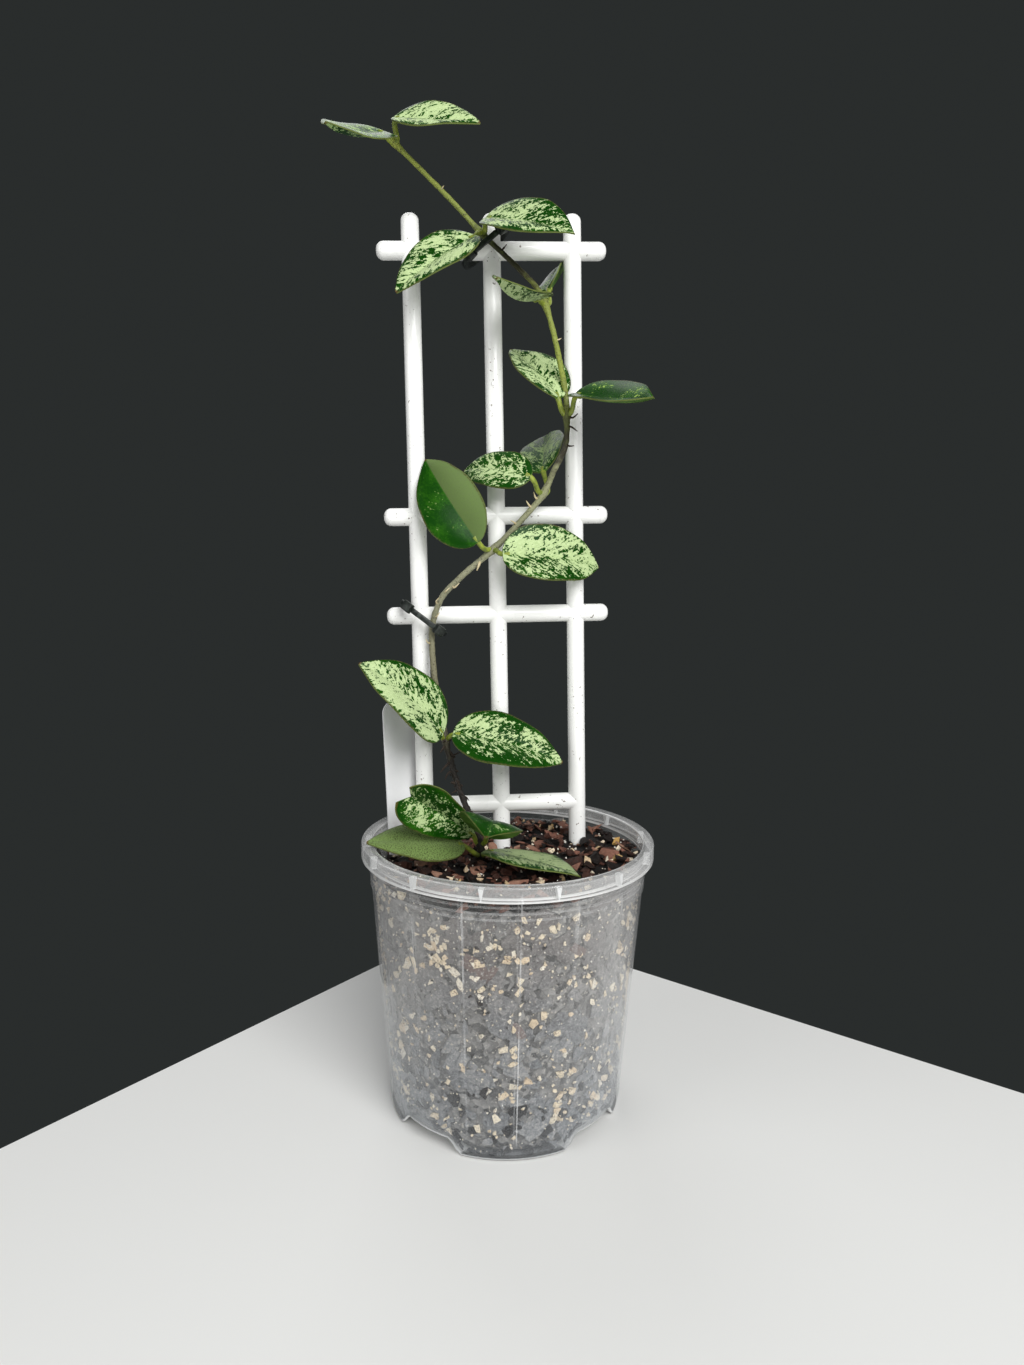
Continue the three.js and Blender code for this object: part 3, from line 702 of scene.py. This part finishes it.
label_plastic, tree, shader = new_material("white label plastic", {"Specular IOR Level": 0.4})
spot = object_spot()
grain = mottle(spot, 260, 4)
white = blend(grain, (0.80, 0.80, 0.81, 1), (0.86, 0.86, 0.86, 1))
near_mix = eased(parts_of(spot)[2], 0.128, 0.110)
splashed = times(near_mix, eased(grain, 0.45, 0.65))
white = blend(splashed, white, (0.30, 0.24, 0.19, 1))
dress(shader, white, eased(grain, 0.3, 0.7, 0.38, 0.52), grain, 0.00008)
make_piece(label_shape, "plant_tag", "label_plastic", [label_plastic], "plant_label")

# ---------------------------------------------------------------- vine clips
# Two dark plastic ring clips. Each is a springy band closed round an upright, the rung there and
# the vine, with a pinch latch at either end of its front.

clip_plastic, tree, shader = new_material("dark clip plastic", {"Specular IOR Level": 0.5})
wear = mottle(object_spot(), 700, 4)
black = blend(eased(wear, 0.45, 0.7), (0.006, 0.009, 0.007, 1), (0.03, 0.04, 0.033, 1))
dress(shader, black, eased(wear, 0.3, 0.7, 0.30, 0.48), wear, 0.00015)


def stadium_ring(shape, half_length, half_depth):
    ring = bmesh.ops.create_circle(shape, cap_ends=False, segments=48, radius=half_depth)["verts"]
    for vert in ring:
        vert.co.x += math.copysign(half_length - half_depth, vert.co.x)
    return [edge for edge in shape.edges if all(vert in ring for vert in edge.verts)]


def make_clip(name, node, place, tilt):
    shape = bmesh.new()
    outer = stadium_ring(shape, 12.8, 9.2)
    inner = stadium_ring(shape, 10.8, 7.2)
    bmesh.ops.bridge_loops(shape, edges=outer + inner)
    thicken(shape, shape.faces[:], 2.4)
    bmesh.ops.translate(shape, vec=(0, 0, -1.2), verts=shape.verts)
    bmesh.ops.recalc_face_normals(shape, faces=shape.faces)
    soften(shape, [edge for edge in shape.edges if edge.calc_face_angle(0) > 1], 0.4, 3)
    for end in (-1, 1):
        latch = bmesh.ops.create_cube(shape, size=1)["verts"]
        bmesh.ops.scale(shape, vec=(5, 3, 4.4), verts=latch)
        softened = soften(shape, list({edge for vert in latch for edge in vert.link_edges}), 0.55, 3)
        latch = list({*softened, *(vert for vert in latch if vert.is_valid)})
        latch_pose = Matrix.Translation((8.8 * end, -8, 0)) @ turn_by(35 * end, "Z")
        bmesh.ops.transform(shape, matrix=latch_pose, verts=latch)
    pose = trellis_pose @ Matrix.Translation(place) @ turn_by(-tilt, "Y")
    bmesh.ops.transform(shape, matrix=pose, verts=shape.verts)
    make_piece(shape, name, "clip_plastic", [clip_plastic], node)


make_clip("ring_clip_low", "clip_lower", (1.7 - bar_spacing, -2.6, third_rung - 1), -38)
make_clip("ring_clip_top", "clip_upper", (-2.8, -2.6, top_rung + 0.6), 38)

# ---------------------------------------------------------------- vine
# One twining stem, woody and nearly black at the foot, grey-olive further up and yellow-green near
# its growing end. It swells at each leaf pair, where short aerial roots and dried root stubs sit.

vine_nodes = {
    "node1": (-11.9, -1, 114.5),
    "node2": (-12.6, 0, 119.4),
    "node3": (-29.1, 11, 165.2),
    "node4": (-8.4, 14, 250.1),
    "node5": (13.8, 16, 275),
    "node6": (23.6, 19, 309.3),
    "node7": (13.2, 18, 355.4),
    "node8": (-14.4, 23, 385.3),
    "node9": (-50.5, 10, 416.4),
}
vine_points = [
    (-9.5, 1, 62), (-12.5, -2, 90), vine_nodes["node1"], vine_nodes["node2"], (-21.6, 8, 140.3),
    (-25.3, 10, 150.3), vine_nodes["node3"], (-34.2, 13, 194.2), (-35.4, 15.5, 213), (-34.4, 15.8, 219.5),
    (-30.8, 15, 228.8), (-22.6, 14, 237.7), vine_nodes["node4"], (3.2, 15, 262), vine_nodes["node5"],
    (18.6, 17, 285.6), (23.2, 18, 295.7), vine_nodes["node6"], (22.8, 19, 318.4), (16.8, 18, 344.7),
    vine_nodes["node7"], (9.7, 18.5, 362), (2.2, 20, 369.8), vine_nodes["node8"], (-28, 19, 397.8),
    vine_nodes["node9"], (-52.6, 9.4, 418.4),
]


def smooth_path(points, step):
    points = [Vector(point) for point in points]
    points = [2 * points[0] - points[1]] + points + [2 * points[-1] - points[-2]]
    path = []
    for before, here, there, after in zip(points, points[1:], points[2:], points[3:]):
        gaps = [max(1e-4, (b - a).length ** 0.5) for a, b in ((before, here), (here, there), (there, after))]
        leaving = (here - before) / gaps[0] - (there - before) / (gaps[0] + gaps[1])
        leaving += (there - here) / gaps[1]
        coming = (there - here) / gaps[1] - (after - here) / (gaps[1] + gaps[2])
        coming += (after - there) / gaps[2]
        leaving *= gaps[1]
        coming *= gaps[1]
        count = max(2, round((there - here).length / step))
        for i in range(count):
            t = i / count
            path.append(
                here * (2 * t**3 - 3 * t**2 + 1) + leaving * (t**3 - 2 * t**2 + t)
                + there * (3 * t**2 - 2 * t**3) + coming * (t**3 - t**2)
            )
    path.append(points[-2])
    return path


def path_frames(path):
    frames = []
    tangent = (path[1] - path[0]).normalized()
    side = tangent.orthogonal().normalized()
    for i, point in enumerate(path):
        following = (path[min(i + 1, len(path) - 1)] - path[max(i - 1, 0)]).normalized()
        side = (tangent.rotation_difference(following) @ side).normalized()
        tangent = following
        other = tangent.cross(side)
        frame_here = Matrix((side, other, tangent)).transposed().to_4x4()
        frames.append(Matrix.Translation(point) @ frame_here)
    return frames


def tube(shape, path, radius_at, sides, material_index=0):
    frames = path_frames(path)
    last = len(path) - 1
    poses = [here @ Matrix.Scale(radius_at(i / last), 4) for i, here in enumerate(frames)]
    made = bmesh.ops.create_circle(shape, cap_ends=True, segments=sides, radius=1)["verts"]
    bmesh.ops.transform(shape, matrix=poses[0], verts=made)
    faces = set(made[0].link_faces)
    edges = list({edge for vert in made for edge in vert.link_edges})
    for before, here in zip(poses, poses[1:]):
        grown = bmesh.ops.extrude_edge_only(shape, edges=edges)["geom"]
        verts = {part for part in grown if isinstance(part, bmesh.types.BMVert)}
        faces.update(part for part in grown if isinstance(part, bmesh.types.BMFace))
        edges = [
            part for part in grown
            if isinstance(part, bmesh.types.BMEdge) and part.verts[0] in verts and part.verts[1] in verts
        ]
        bmesh.ops.transform(shape, matrix=here @ before.inverted(), verts=list(verts))
    faces.update(bmesh.ops.contextual_create(shape, geom=edges)["faces"])
    bmesh.ops.recalc_face_normals(shape, faces=list(faces))
    for face in faces:
        face.material_index = material_index
    return {vert for face in faces for vert in face.verts}


vine_path = smooth_path(vine_points, 1.2)
vine_lengths = [0]
for here, there in zip(vine_path, vine_path[1:]):
    vine_lengths.append(vine_lengths[-1] + (there - here).length)
vine_length = vine_lengths[-1]
node_lengths = []
for node in vine_nodes.values():
    nearest = min(range(len(vine_path)), key=lambda i: (vine_path[i] - Vector(node)).length)
    node_lengths.append(vine_lengths[nearest])


def vine_radius(share):
    length = vine_lengths[round(share * (len(vine_path) - 1))]
    along = length / vine_length
    swelling = max(math.exp(-(((length - place) / 3.2) ** 2)) for place in node_lengths)
    return 1.45 + (0.95 - 1.45) * along**2 + 0.6 * swelling


vine_shape = bmesh.new()
for vert in tube(vine_shape, vine_path, vine_radius, 14):
    ragged = 1 + 2.2 * min(1, max(0, (166 - vert.co.z) / 12))
    bark_lump = ragged * (noise.noise(vert.co * 0.55) * 0.16 + noise.noise(vert.co * 1.4) * 0.08)
    centre = min(vine_path, key=lambda point: (point - vert.co).length_squared)
    vert.co = centre + (vert.co - centre) * (1 + bark_lump)
for tip in ((-36, -14, 50), (8, -26, 44), (6, 10, 36)):
    root_path = smooth_path([(-11.6, -1.2, 84), (tip[0] * 0.6 - 4, tip[1] * 0.6, 78), tip], 4)
    tube(vine_shape, root_path, lambda share: 1 - 0.5 * share, 8, 2)

# Each root: the height where it leaves the vine, then how far its middle and its tip stand off.
pale_roots = [
    (225, (-0.8, -2.2, 1.6), (0.6, -3.4, 3.4), 0.42),
    (234, (1.2, -2.4, -0.8), (3.4, -2.6, 1.2), 0.42),
    (231, (0.6, -2.4, 1.0), (2.4, -2.4, 2.6), 0.36),
    (208, (-1.6, -1.6, 0.4), (-2.6, -2.2, 2.2), 0.36),
    (220, (1.4, -2.0, 0.8), (2.6, -1.4, 2.6), 0.36),
    (245, (-0.6, -2.2, -2.2), (-1.4, -2.2, -4.4), 0.62),
    (261, (-1.6, -1.6, 1.2), (-3.0, -1.6, 2.0), 0.45),
    (268, (-1.4, -1.4, 1.4), (-2.6, -1.2, 3.2), 0.5),
    (272, (-1.6, -1.4, 1.0), (-2.4, -1.8, 3.4), 0.5),
    (341, (1.6, -0.8, 0.2), (2.6, -0.8, 0.8), 0.4),
    (401, (0.6, -1.8, 0.6), (1.2, -2.4, 1.0), 0.4),
]
dark_roots = [
    (309, (2.4, -1.2, -1.4), (4.8, -1.0, 0.4), 0.5),
    (304, (2.0, -1.4, -0.6), (4.6, -1.6, -2.4), 0.45),
    (297, (1.6, -1.4, -1.2), (3.6, -1.4, -1.0), 0.45),
    (378, (1.4, -1.6, 1.0), (2.6, -2.0, 2.4), 0.4),
    (163, (-1.2, -1.8, -1.6), (-2.6, -2.0, -3.8), 0.6),
    (157, (2.2, -1.4, 1.2), (5.0, -1.2, 2.6), 0.5),
    (154, (-1.6, -2.0, -1.2), (-4.4, -2.2, -4.6), 0.6),
    (150, (-2.0, -1.6, -0.6), (-3.6, -1.4, -3.8), 0.5),
    (147, (1.4, -1.6, -2.0), (2.4, -1.8, -4.6), 0.5),
    (143, (-1.8, -1.6, -1.4), (-3.4, -1.2, -2.2), 0.45),
    (138, (1.6, -1.4, 0.8), (3.0, -1.0, -1.0), 0.4),
]
for kind, bits in ((1, pale_roots), (2, dark_roots)):
    for height, middle, end, thickness in bits:
        start = min(vine_path, key=lambda point: abs(point.z - height))
        root_path = smooth_path([start, start + Vector(middle), start + Vector(end)], 0.5)
        tube(vine_shape, root_path, lambda share: thickness * (1.1 - 0.75 * share**2), 8, kind)

vine_seed = random.Random(5)
for _ in range(46):
    start = vine_seed.choice([point for point in vine_path if 120 < point.z < 164])
    turn = vine_seed.uniform(0, 2 * math.pi)
    reach = vine_seed.uniform(1.6, 3.6)
    end = Vector((reach * math.cos(turn), reach * math.sin(turn), vine_seed.uniform(-2.4, 1.2)))
    middle = end * 0.55 + Vector((0, 0, vine_seed.uniform(-0.4, 0.8)))
    thickness = vine_seed.uniform(0.3, 0.75)
    root_path = smooth_path([start, start + middle, start + end], 0.7)
    tube(vine_shape, root_path, lambda share: thickness * (1.1 - 0.6 * share**3), 6, 2)

vine_bark, tree, shader = new_material("vine bark", {"Specular IOR Level": 0.4})
spot = object_spot()
patches = mottle(spot, 260, 4, 0.65, 0.4)
shifted = plus(parts_of(spot)[2], swing(patches, 0.03))
color = ramp(
    reckon("DIVIDE", shifted, 0.42),
    (0.37, (0.012, 0.009, 0.006, 1)),
    (0.43, (0.16, 0.145, 0.085, 1)),
    (0.58, (0.27, 0.27, 0.17, 1)),
    (0.67, (0.28, 0.29, 0.15, 1)),
    (0.70, (0.035, 0.028, 0.018, 1)),
    (0.735, (0.13, 0.15, 0.04, 1)),
    (0.78, (0.27, 0.32, 0.05, 1)),
    (0.85, (0.22, 0.26, 0.05, 1)),
    (0.875, (0.06, 0.055, 0.02, 1)),
    (0.90, (0.025, 0.025, 0.010, 1)),
    (0.925, (0.20, 0.24, 0.05, 1)),
    (1.0, (0.30, 0.34, 0.055, 1)),
)
dots = eased(mottle(spot, 1100, 3), 0.56, 0.68, 0.0, 0.7)
color = blend(dots, color, (0.035, 0.024, 0.014, 1))
polish = eased(patches, 0.3, 0.7, 0.42, 0.62)
dress(shader, color, polish, mottle(spot, 900, 4, 0.7), 0.0005)

vine_skins = [vine_bark]
for name, roughness, first, second, grain, depth in (
    ("fresh aerial root", 0.6, (0.48, 0.36, 0.16, 1), (0.66, 0.60, 0.42, 1), 1500, 0.0002),
    ("dried root", 0.8, (0.008, 0.006, 0.004, 1), (0.05, 0.03, 0.018, 1), 1200, 0.0004),
):
    skin, tree, shader = new_material(name, {"Roughness": roughness})
    spot = object_spot()
    color = blend(mottle(spot, 700, 3), first, second)
    dress(shader, color, None, mottle(spot, grain, 3), depth)
    vine_skins.append(skin)
make_piece(vine_shape, "twining_vine", "vine_bark", vine_skins, "vine_stem")

# ---------------------------------------------------------------- leaves
# Nine opposite pairs of thick, waxy leaves, each on a short yellow-green stalk. Air under the skin
# makes silver splashes that follow the side veins; some halves are nearly all silver.

deep = (0.005, 0.046, 0.002, 1)
fresh = (0.025, 0.118, 0.005, 1)
bright = (0.54, 0.67, 0.345, 1)
sage = (0.30, 0.41, 0.17, 1)
dusky = (0.17, 0.25, 0.08, 1)
grey_green = (0.35, 0.43, 0.22, 1)
# A darker copy of sage as painted shade, used on the nearly all-silver half of leaf_4_left.
painted_shade_sage = (0.15, 0.22, 0.075, 1)
lime = (0.38, 0.56, 0.10, 1)
young_green = (0.42, 0.58, 0.24, 1)
leaf_keys = (
    "name", "base", "heading", "rise", "roll", "length", "width", "fold", "droop", "silver", "hem", "tint",
)
leaf_rows = [
    ("leaf_1_left", (-19.3, -4.7, 120), 200, 12, -21, 44, 26, 2, 13, (1.05, 1.0), 0.1, dusky),
    ("leaf_1_right", (-9.5, -8, 118.4), -35, 3, -7, 49, 28, 4, 9, (0.85, 0.6), 0.3, grey_green),
    ("leaf_2_left", (-15.2, -2.2, 124.3), 201, 37, -100, 45, 25.3, 31, -25, (0.34, 0.40), 0.6, bright),
    ("leaf_2_right", (-9.5, -5.3, 124.5), -74, 48, -25, 43, 28, 1, 74, (0.3, 0.2), 0.4, sage),
    ("leaf_3_left", (-30, 6.2, 167.9), 220, 51, -63, 51, 31, 12, 36, (0.74, 0.54), 0.4, bright),
    ("leaf_3_right", (-25.4, 5.6, 168.3), -6, -5, 39, 52, 30, 11, 28, (0.52, 0.40), 0.3, bright),
    ("leaf_4_left", (-14.2, 6.3, 253), 166, 53, -90, 47, 30, 21, 24, (0.05, 1.6), 0.1, painted_shade_sage),
    ("leaf_4_right", (-4.2, 6, 248.2), 9, 0, 64, 49, 29, 20, 34, (0.64, 0.50), 0.2, bright),
    ("leaf_5_left", (8.3, 8.3, 281.7), 162, 15, -58, 37, 20, 5, 39, (0.46, 0.44), 0.2, bright),
    ("leaf_5_right", (13.7, 23.3, 284.7), 89, 36, -28, 43, 24, 14, 18, (0.45, 0.45), 0.2, sage),
    ("leaf_6_left", (19.9, 16.3, 315.7), 134, 46, -18, 42, 24, 17, 21, (0.60, 0.56), 0.2, bright),
    ("leaf_6_right", (26.8, 13.3, 317.2), -49, -16, 23, 48, 27, 20, -19, (0.16, 0.12), 0.2, lime),
    ("leaf_7_left", (10.2, 11.8, 356.2), 240, -18, -21, 43, 25, 25, -36, (0.6, 0.6), 0.2, bright),
    ("leaf_7_right", (14.6, 26, 362.8), 68, 34, -34, 30, 15, 25, -6, (0.4, 0.4), 0.2, sage),
    ("leaf_8_left", (-16.8, 13.9, 381.3), 207, -32, -33, 44, 27, 14, 13, (0.58, 0.56), 0.2, bright),
    ("leaf_8_right", (-12.6, 14.5, 388.5), -37, -10, 40, 45, 27, 15, 18, (0.56, 0.56), 0.3, bright),
    ("leaf_9_left", (-54.5, 6.6, 418.9), 242, -26, -23, 44, 26, 8, -24, (0.45, 0.4), 0.4, young_green),
    ("leaf_9_right", (-50.5, 8.2, 424.8), -19, -10, 43, 39, 22, 16, -2, (0.58, 0.55), 0.2, bright),
]
leaf_extras = {
    "leaf_1_left": {"dirt": 1.5},
    "leaf_2_left": {"base_fullness": 0.6, "tip_fullness": 0.25, "notch": 0.16},
    "leaf_2_right": {"dirt": 0.8},
    "leaf_7_left": {"both_faces": True},
    "leaf_9_left": {"both_faces": True},
}
leaves = [{**dict(zip(leaf_keys, row)), **leaf_extras.get(row[0], {})} for row in leaf_rows]
base_fullness = 0.5
tip_fullness = 0.8
bend_growth = 1.2
uv_span = 64


def half_width(leaf, along):
    at_base = leaf.get("base_fullness", base_fullness)
    at_tip = leaf.get("tip_fullness", tip_fullness)
    widest = at_base / (at_base + at_tip)
    scale = widest**at_base * (1 - widest) ** at_tip
    pointed = 1 if "notch" in leaf else 1 - 0.4 * max(0, (along - 0.72) / 0.28) ** 2
    return leaf["width"] / 2 * pointed * along**at_base * (1 - along) ** at_tip / scale


def blade_axes(leaf):
    heading, rise, roll = (math.radians(leaf[key]) for key in ("heading", "rise", "roll"))
    along = Vector((math.cos(rise) * math.cos(heading), math.cos(rise) * math.sin(heading), math.sin(rise)))
    left = Matrix.Rotation(roll, 3, along) @ Vector((-math.sin(heading), math.cos(heading), 0))
    return along, left, along.cross(left)


def midrib(leaf, axes, along):
    point = Vector(leaf["base"])
    droop = math.radians(leaf["droop"])
    for i in range(24):
        bend = droop * ((i + 0.5) / 24 * along) ** bend_growth
        point += leaf["length"] * along / 24 * (axes[0] * math.cos(bend) - axes[2] * math.sin(bend))
    bend = droop * along**bend_growth
    return point, axes[2] * math.cos(bend) + axes[0] * math.sin(bend)


def make_blade(leaf, axes):
    shape = bmesh.new()
    bmesh.ops.create_cube(shape, size=1)
    for axis, cuts in ((0, 43), (1, 21)):
        edges = [e for e in shape.edges if abs(e.verts[0].co[axis] - e.verts[1].co[axis]) > 0.5]
        bmesh.ops.subdivide_edges(shape, edges=edges, cuts=cuts, use_grid_fill=True)
    shape.normal_update()
    uv_layer = shape.loops.layers.uv.new("blade")
    margin_layer = shape.verts.layers.float.new("margin")
    for face in shape.faces:
        shown = face.normal.z > 0.5 or leaf.get("both_faces") and face.normal.z < -0.5
        face.material_index = 0 if shown else 1
    spots = {}
    for vert in shape.verts:
        share = vert.co.x + 0.5
        along = 0.008 + 0.989 * share * share * (3 - 2 * share)
        across = math.sin(math.pi * vert.co.y)
        spots[vert] = (along, across, 2 * vert.co.z)
    spine = {}
    fold = math.radians(leaf["fold"])
    phase = leaf["heading"] * 0.1
    for vert, (along, across, side) in spots.items():
        reached = along * (1 - leaf.get("notch", 0) * (1 - abs(across)) * along**4)
        if reached not in spine:
            spine[reached] = midrib(leaf, axes, reached)
        point, up = spine[reached]
        wave = 1 + 0.012 * math.sin(along * 19 + phase * 3 + across * 2)
        out = half_width(leaf, along) * across * wave
        for loop in vert.link_loops:
            loop[uv_layer].uv = (reached * leaf["length"] / uv_span, 0.5 + out / uv_span)
        vert[margin_layer] = abs(across)
        fullness = (1 - across * across) * min(1, 6 * (1 - along))
        lift = side * (0.5 + 1.1 * fullness) / 2
        lift += 0.55 * math.sin(math.pi * abs(across)) * min(1, 5 * along, 5 * (1 - along))
        lift += 0.45 * across * abs(across) * math.sin(along * 9 + phase)
        lean = fold * across * abs(across)
        vert.co = (
            point + axes[1] * (out * math.cos(fold) - lift * math.sin(lean))
            + up * (abs(out) * math.sin(fold) + lift * math.cos(lean))
        )
    return shape


def stalk_path(leaf, axes):
    node = Vector(vine_nodes["node" + leaf["name"].split("_")[1]])
    base = Vector(leaf["base"])
    gap = base - node
    reach = gap.length
    side = -1 if leaf["name"].endswith("left") else 1
    out = Vector((gap.x + side * reach, gap.y, 0)).normalized() * reach * 0.45
    leaving = node + out
    arriving = base - axes[0] * 0.35 * reach
    end = midrib(leaf, axes, 0.07)[0]
    path = []
    for i in range(15):
        t = i / 14
        path.append(
            node * (1 - t) ** 3 + leaving * 3 * t * (1 - t) ** 2 + arriving * 3 * t * t * (1 - t) + end * t**3
        )
    return path


splashes = bpy.data.node_groups.new("silver splashes", "ShaderNodeTree")
for name, kind in (("Left", "Float"), ("Right", "Float"), ("Hem", "Float"), ("Dirt", "Float"),
                   ("Seed", "Float"), ("Length", "Float"), ("Silver", "Color")):
    splashes.interface.new_socket(name, in_out="INPUT", socket_type="NodeSocket" + kind)
for name, kind in (("Color", "Color"), ("Roughness", "Float"), ("Height", "Float")):
    splashes.interface.new_socket(name, in_out="OUTPUT", socket_type="NodeSocket" + kind)
tree = splashes
given = tree.nodes.new("NodeGroupInput").outputs
made = tree.nodes.new("NodeGroupOutput").inputs
place = parts_of(add("ShaderNodeUVMap", {}, uv_map="blade").outputs[0])
along = times(place[0], uv_span)
out = times(minus(place[1], 0.5), uv_span)
aside = reckon("ABSOLUTE", out)
on_left = reckon("GREATER_THAN", out, 0.0)
seed = plus(given["Seed"], times(on_left, 7.3))
down_vein = plus(times(aside, 0.62), times(along, 0.78))
over_vein = minus(times(along, 0.62), times(aside, 0.78))


def joined(*parts):
    return add("ShaderNodeCombineXYZ", dict(enumerate(parts))).outputs[0]


streak_at = joined(times(down_vein, 0.24), times(over_vein, 0.68), seed)
patch_at = joined(times(along, 0.085), times(out, 0.12), given["Seed"])
fleck_at = joined(along, out, given["Seed"])
streaks = mottle(streak_at, 1.0, 5, 0.66, 0.5)
patches = mottle(patch_at, 1.0, 2)
flecks = mottle(fleck_at, 1.05, 3, 0.6)
field = plus(plus(streaks, swing(patches, 0.5)), swing(flecks, 0.62))
cover = add("ShaderNodeMix", {0: on_left, 2: given["Right"], 3: given["Left"]}).outputs[0]
margin = painted("margin")
hem = times(times(eased(margin, 0.72, 1.0), given["Hem"]), 0.5)
limit = plus(plus(swing(cover, -0.42), 0.5), hem)
silver = eased(minus(field, limit), -0.010, 0.014)
green_share = eased(plus(patches, times(flecks, 0.5)), 0.62, 1.05)
green = blend(green_share, deep, fresh)
green = blend(eased(aside, 0.55, 0.1, 0.0, 0.5), green, (0.04, 0.14, 0.015, 1))
duller = blend(0.6, given["Silver"], (0.16, 0.27, 0.06, 1))
sheen = blend(eased(flecks, 0.3, 0.7, 0.0, 0.5), given["Silver"], duller)
color = blend(silver, green, sheen)
soiled = plus(mottle(fleck_at, 1.9, 2), times(given["Dirt"], 0.11))
color = blend(eased(soiled, 0.70, 0.76, 0.0, 0.8), color, (0.025, 0.018, 0.008, 1))
edge_brown = times(eased(margin, 0.93, 0.99), eased(flecks, 0.42, 0.58, 0.2, 0.9))
color = blend(edge_brown, color, (0.085, 0.075, 0.03, 1))
tip = eased(minus(given["Length"], along), 1.6, 0.3)
tree.links.new(blend(tip, color, (0.10, 0.06, 0.02, 1)), made["Color"])
tree.links.new(eased(silver, 0.0, 1.0, 0.29, 0.45), made["Roughness"])
grain = plus(times(silver, 0.35), times(flecks, 0.3))
tree.links.new(minus(grain, eased(aside, 0.5, 0.1, 0.0, 0.3)), made["Height"])

leaf_gloss = {"Specular IOR Level": 0.09}
under_skin, tree, shader = new_material("leaf underside", leaf_gloss)
place = parts_of(add("ShaderNodeUVMap", {}, uv_map="blade").outputs[0])
cloud = mottle(object_spot(), 170, 4, 0.6)
color = blend(eased(cloud, 0.35, 0.65), (0.055, 0.13, 0.018, 1), (0.13, 0.24, 0.05, 1))
color = blend(eased(apart(place[1], 0.5), 0.010, 0.003), color, (0.06, 0.10, 0.02, 1))
color = blend(eased(painted("margin"), 0.94, 1.0, 0.0, 0.55), color, (0.13, 0.11, 0.04, 1))
dress(shader, color, eased(cloud, 0.3, 0.7, 0.36, 0.5), cloud, 0.0002)

stalk_skin, tree, shader = new_material("leaf stalk", {"Specular IOR Level": 0.45})
cloud = mottle(object_spot(), 420, 4, 0.6)
color = blend(eased(cloud, 0.35, 0.68), (0.30, 0.36, 0.045, 1), (0.15, 0.20, 0.03, 1))
dress(shader, color, eased(cloud, 0.3, 0.7, 0.34, 0.5), cloud, 0.0003)

for number, leaf in enumerate(leaves):
    axes = blade_axes(leaf)
    shape = make_blade(leaf, axes)
    tube(shape, stalk_path(leaf, axes), lambda share: 1.12 + 0.35 * (2 * share - 1) ** 4, 12, 2)
    skin, tree, shader = new_material(leaf["name"].replace("_", " ") + " upper side", leaf_gloss)
    amounts = {"Hem": leaf["hem"], "Silver": leaf["tint"], "Dirt": leaf.get("dirt", 0)}
    amounts["Left"], amounts["Right"] = leaf["silver"]
    amounts.update({"Seed": 3.7 * number + 1, "Length": leaf["length"]})
    splash = add("ShaderNodeGroup", amounts, node_tree=splashes).outputs
    dress(shader, splash["Color"], splash["Roughness"], splash["Height"], 0.00012)
    make_piece(shape, "hoya_" + leaf["name"], "leaf", [skin, under_skin, stalk_skin], leaf["name"])
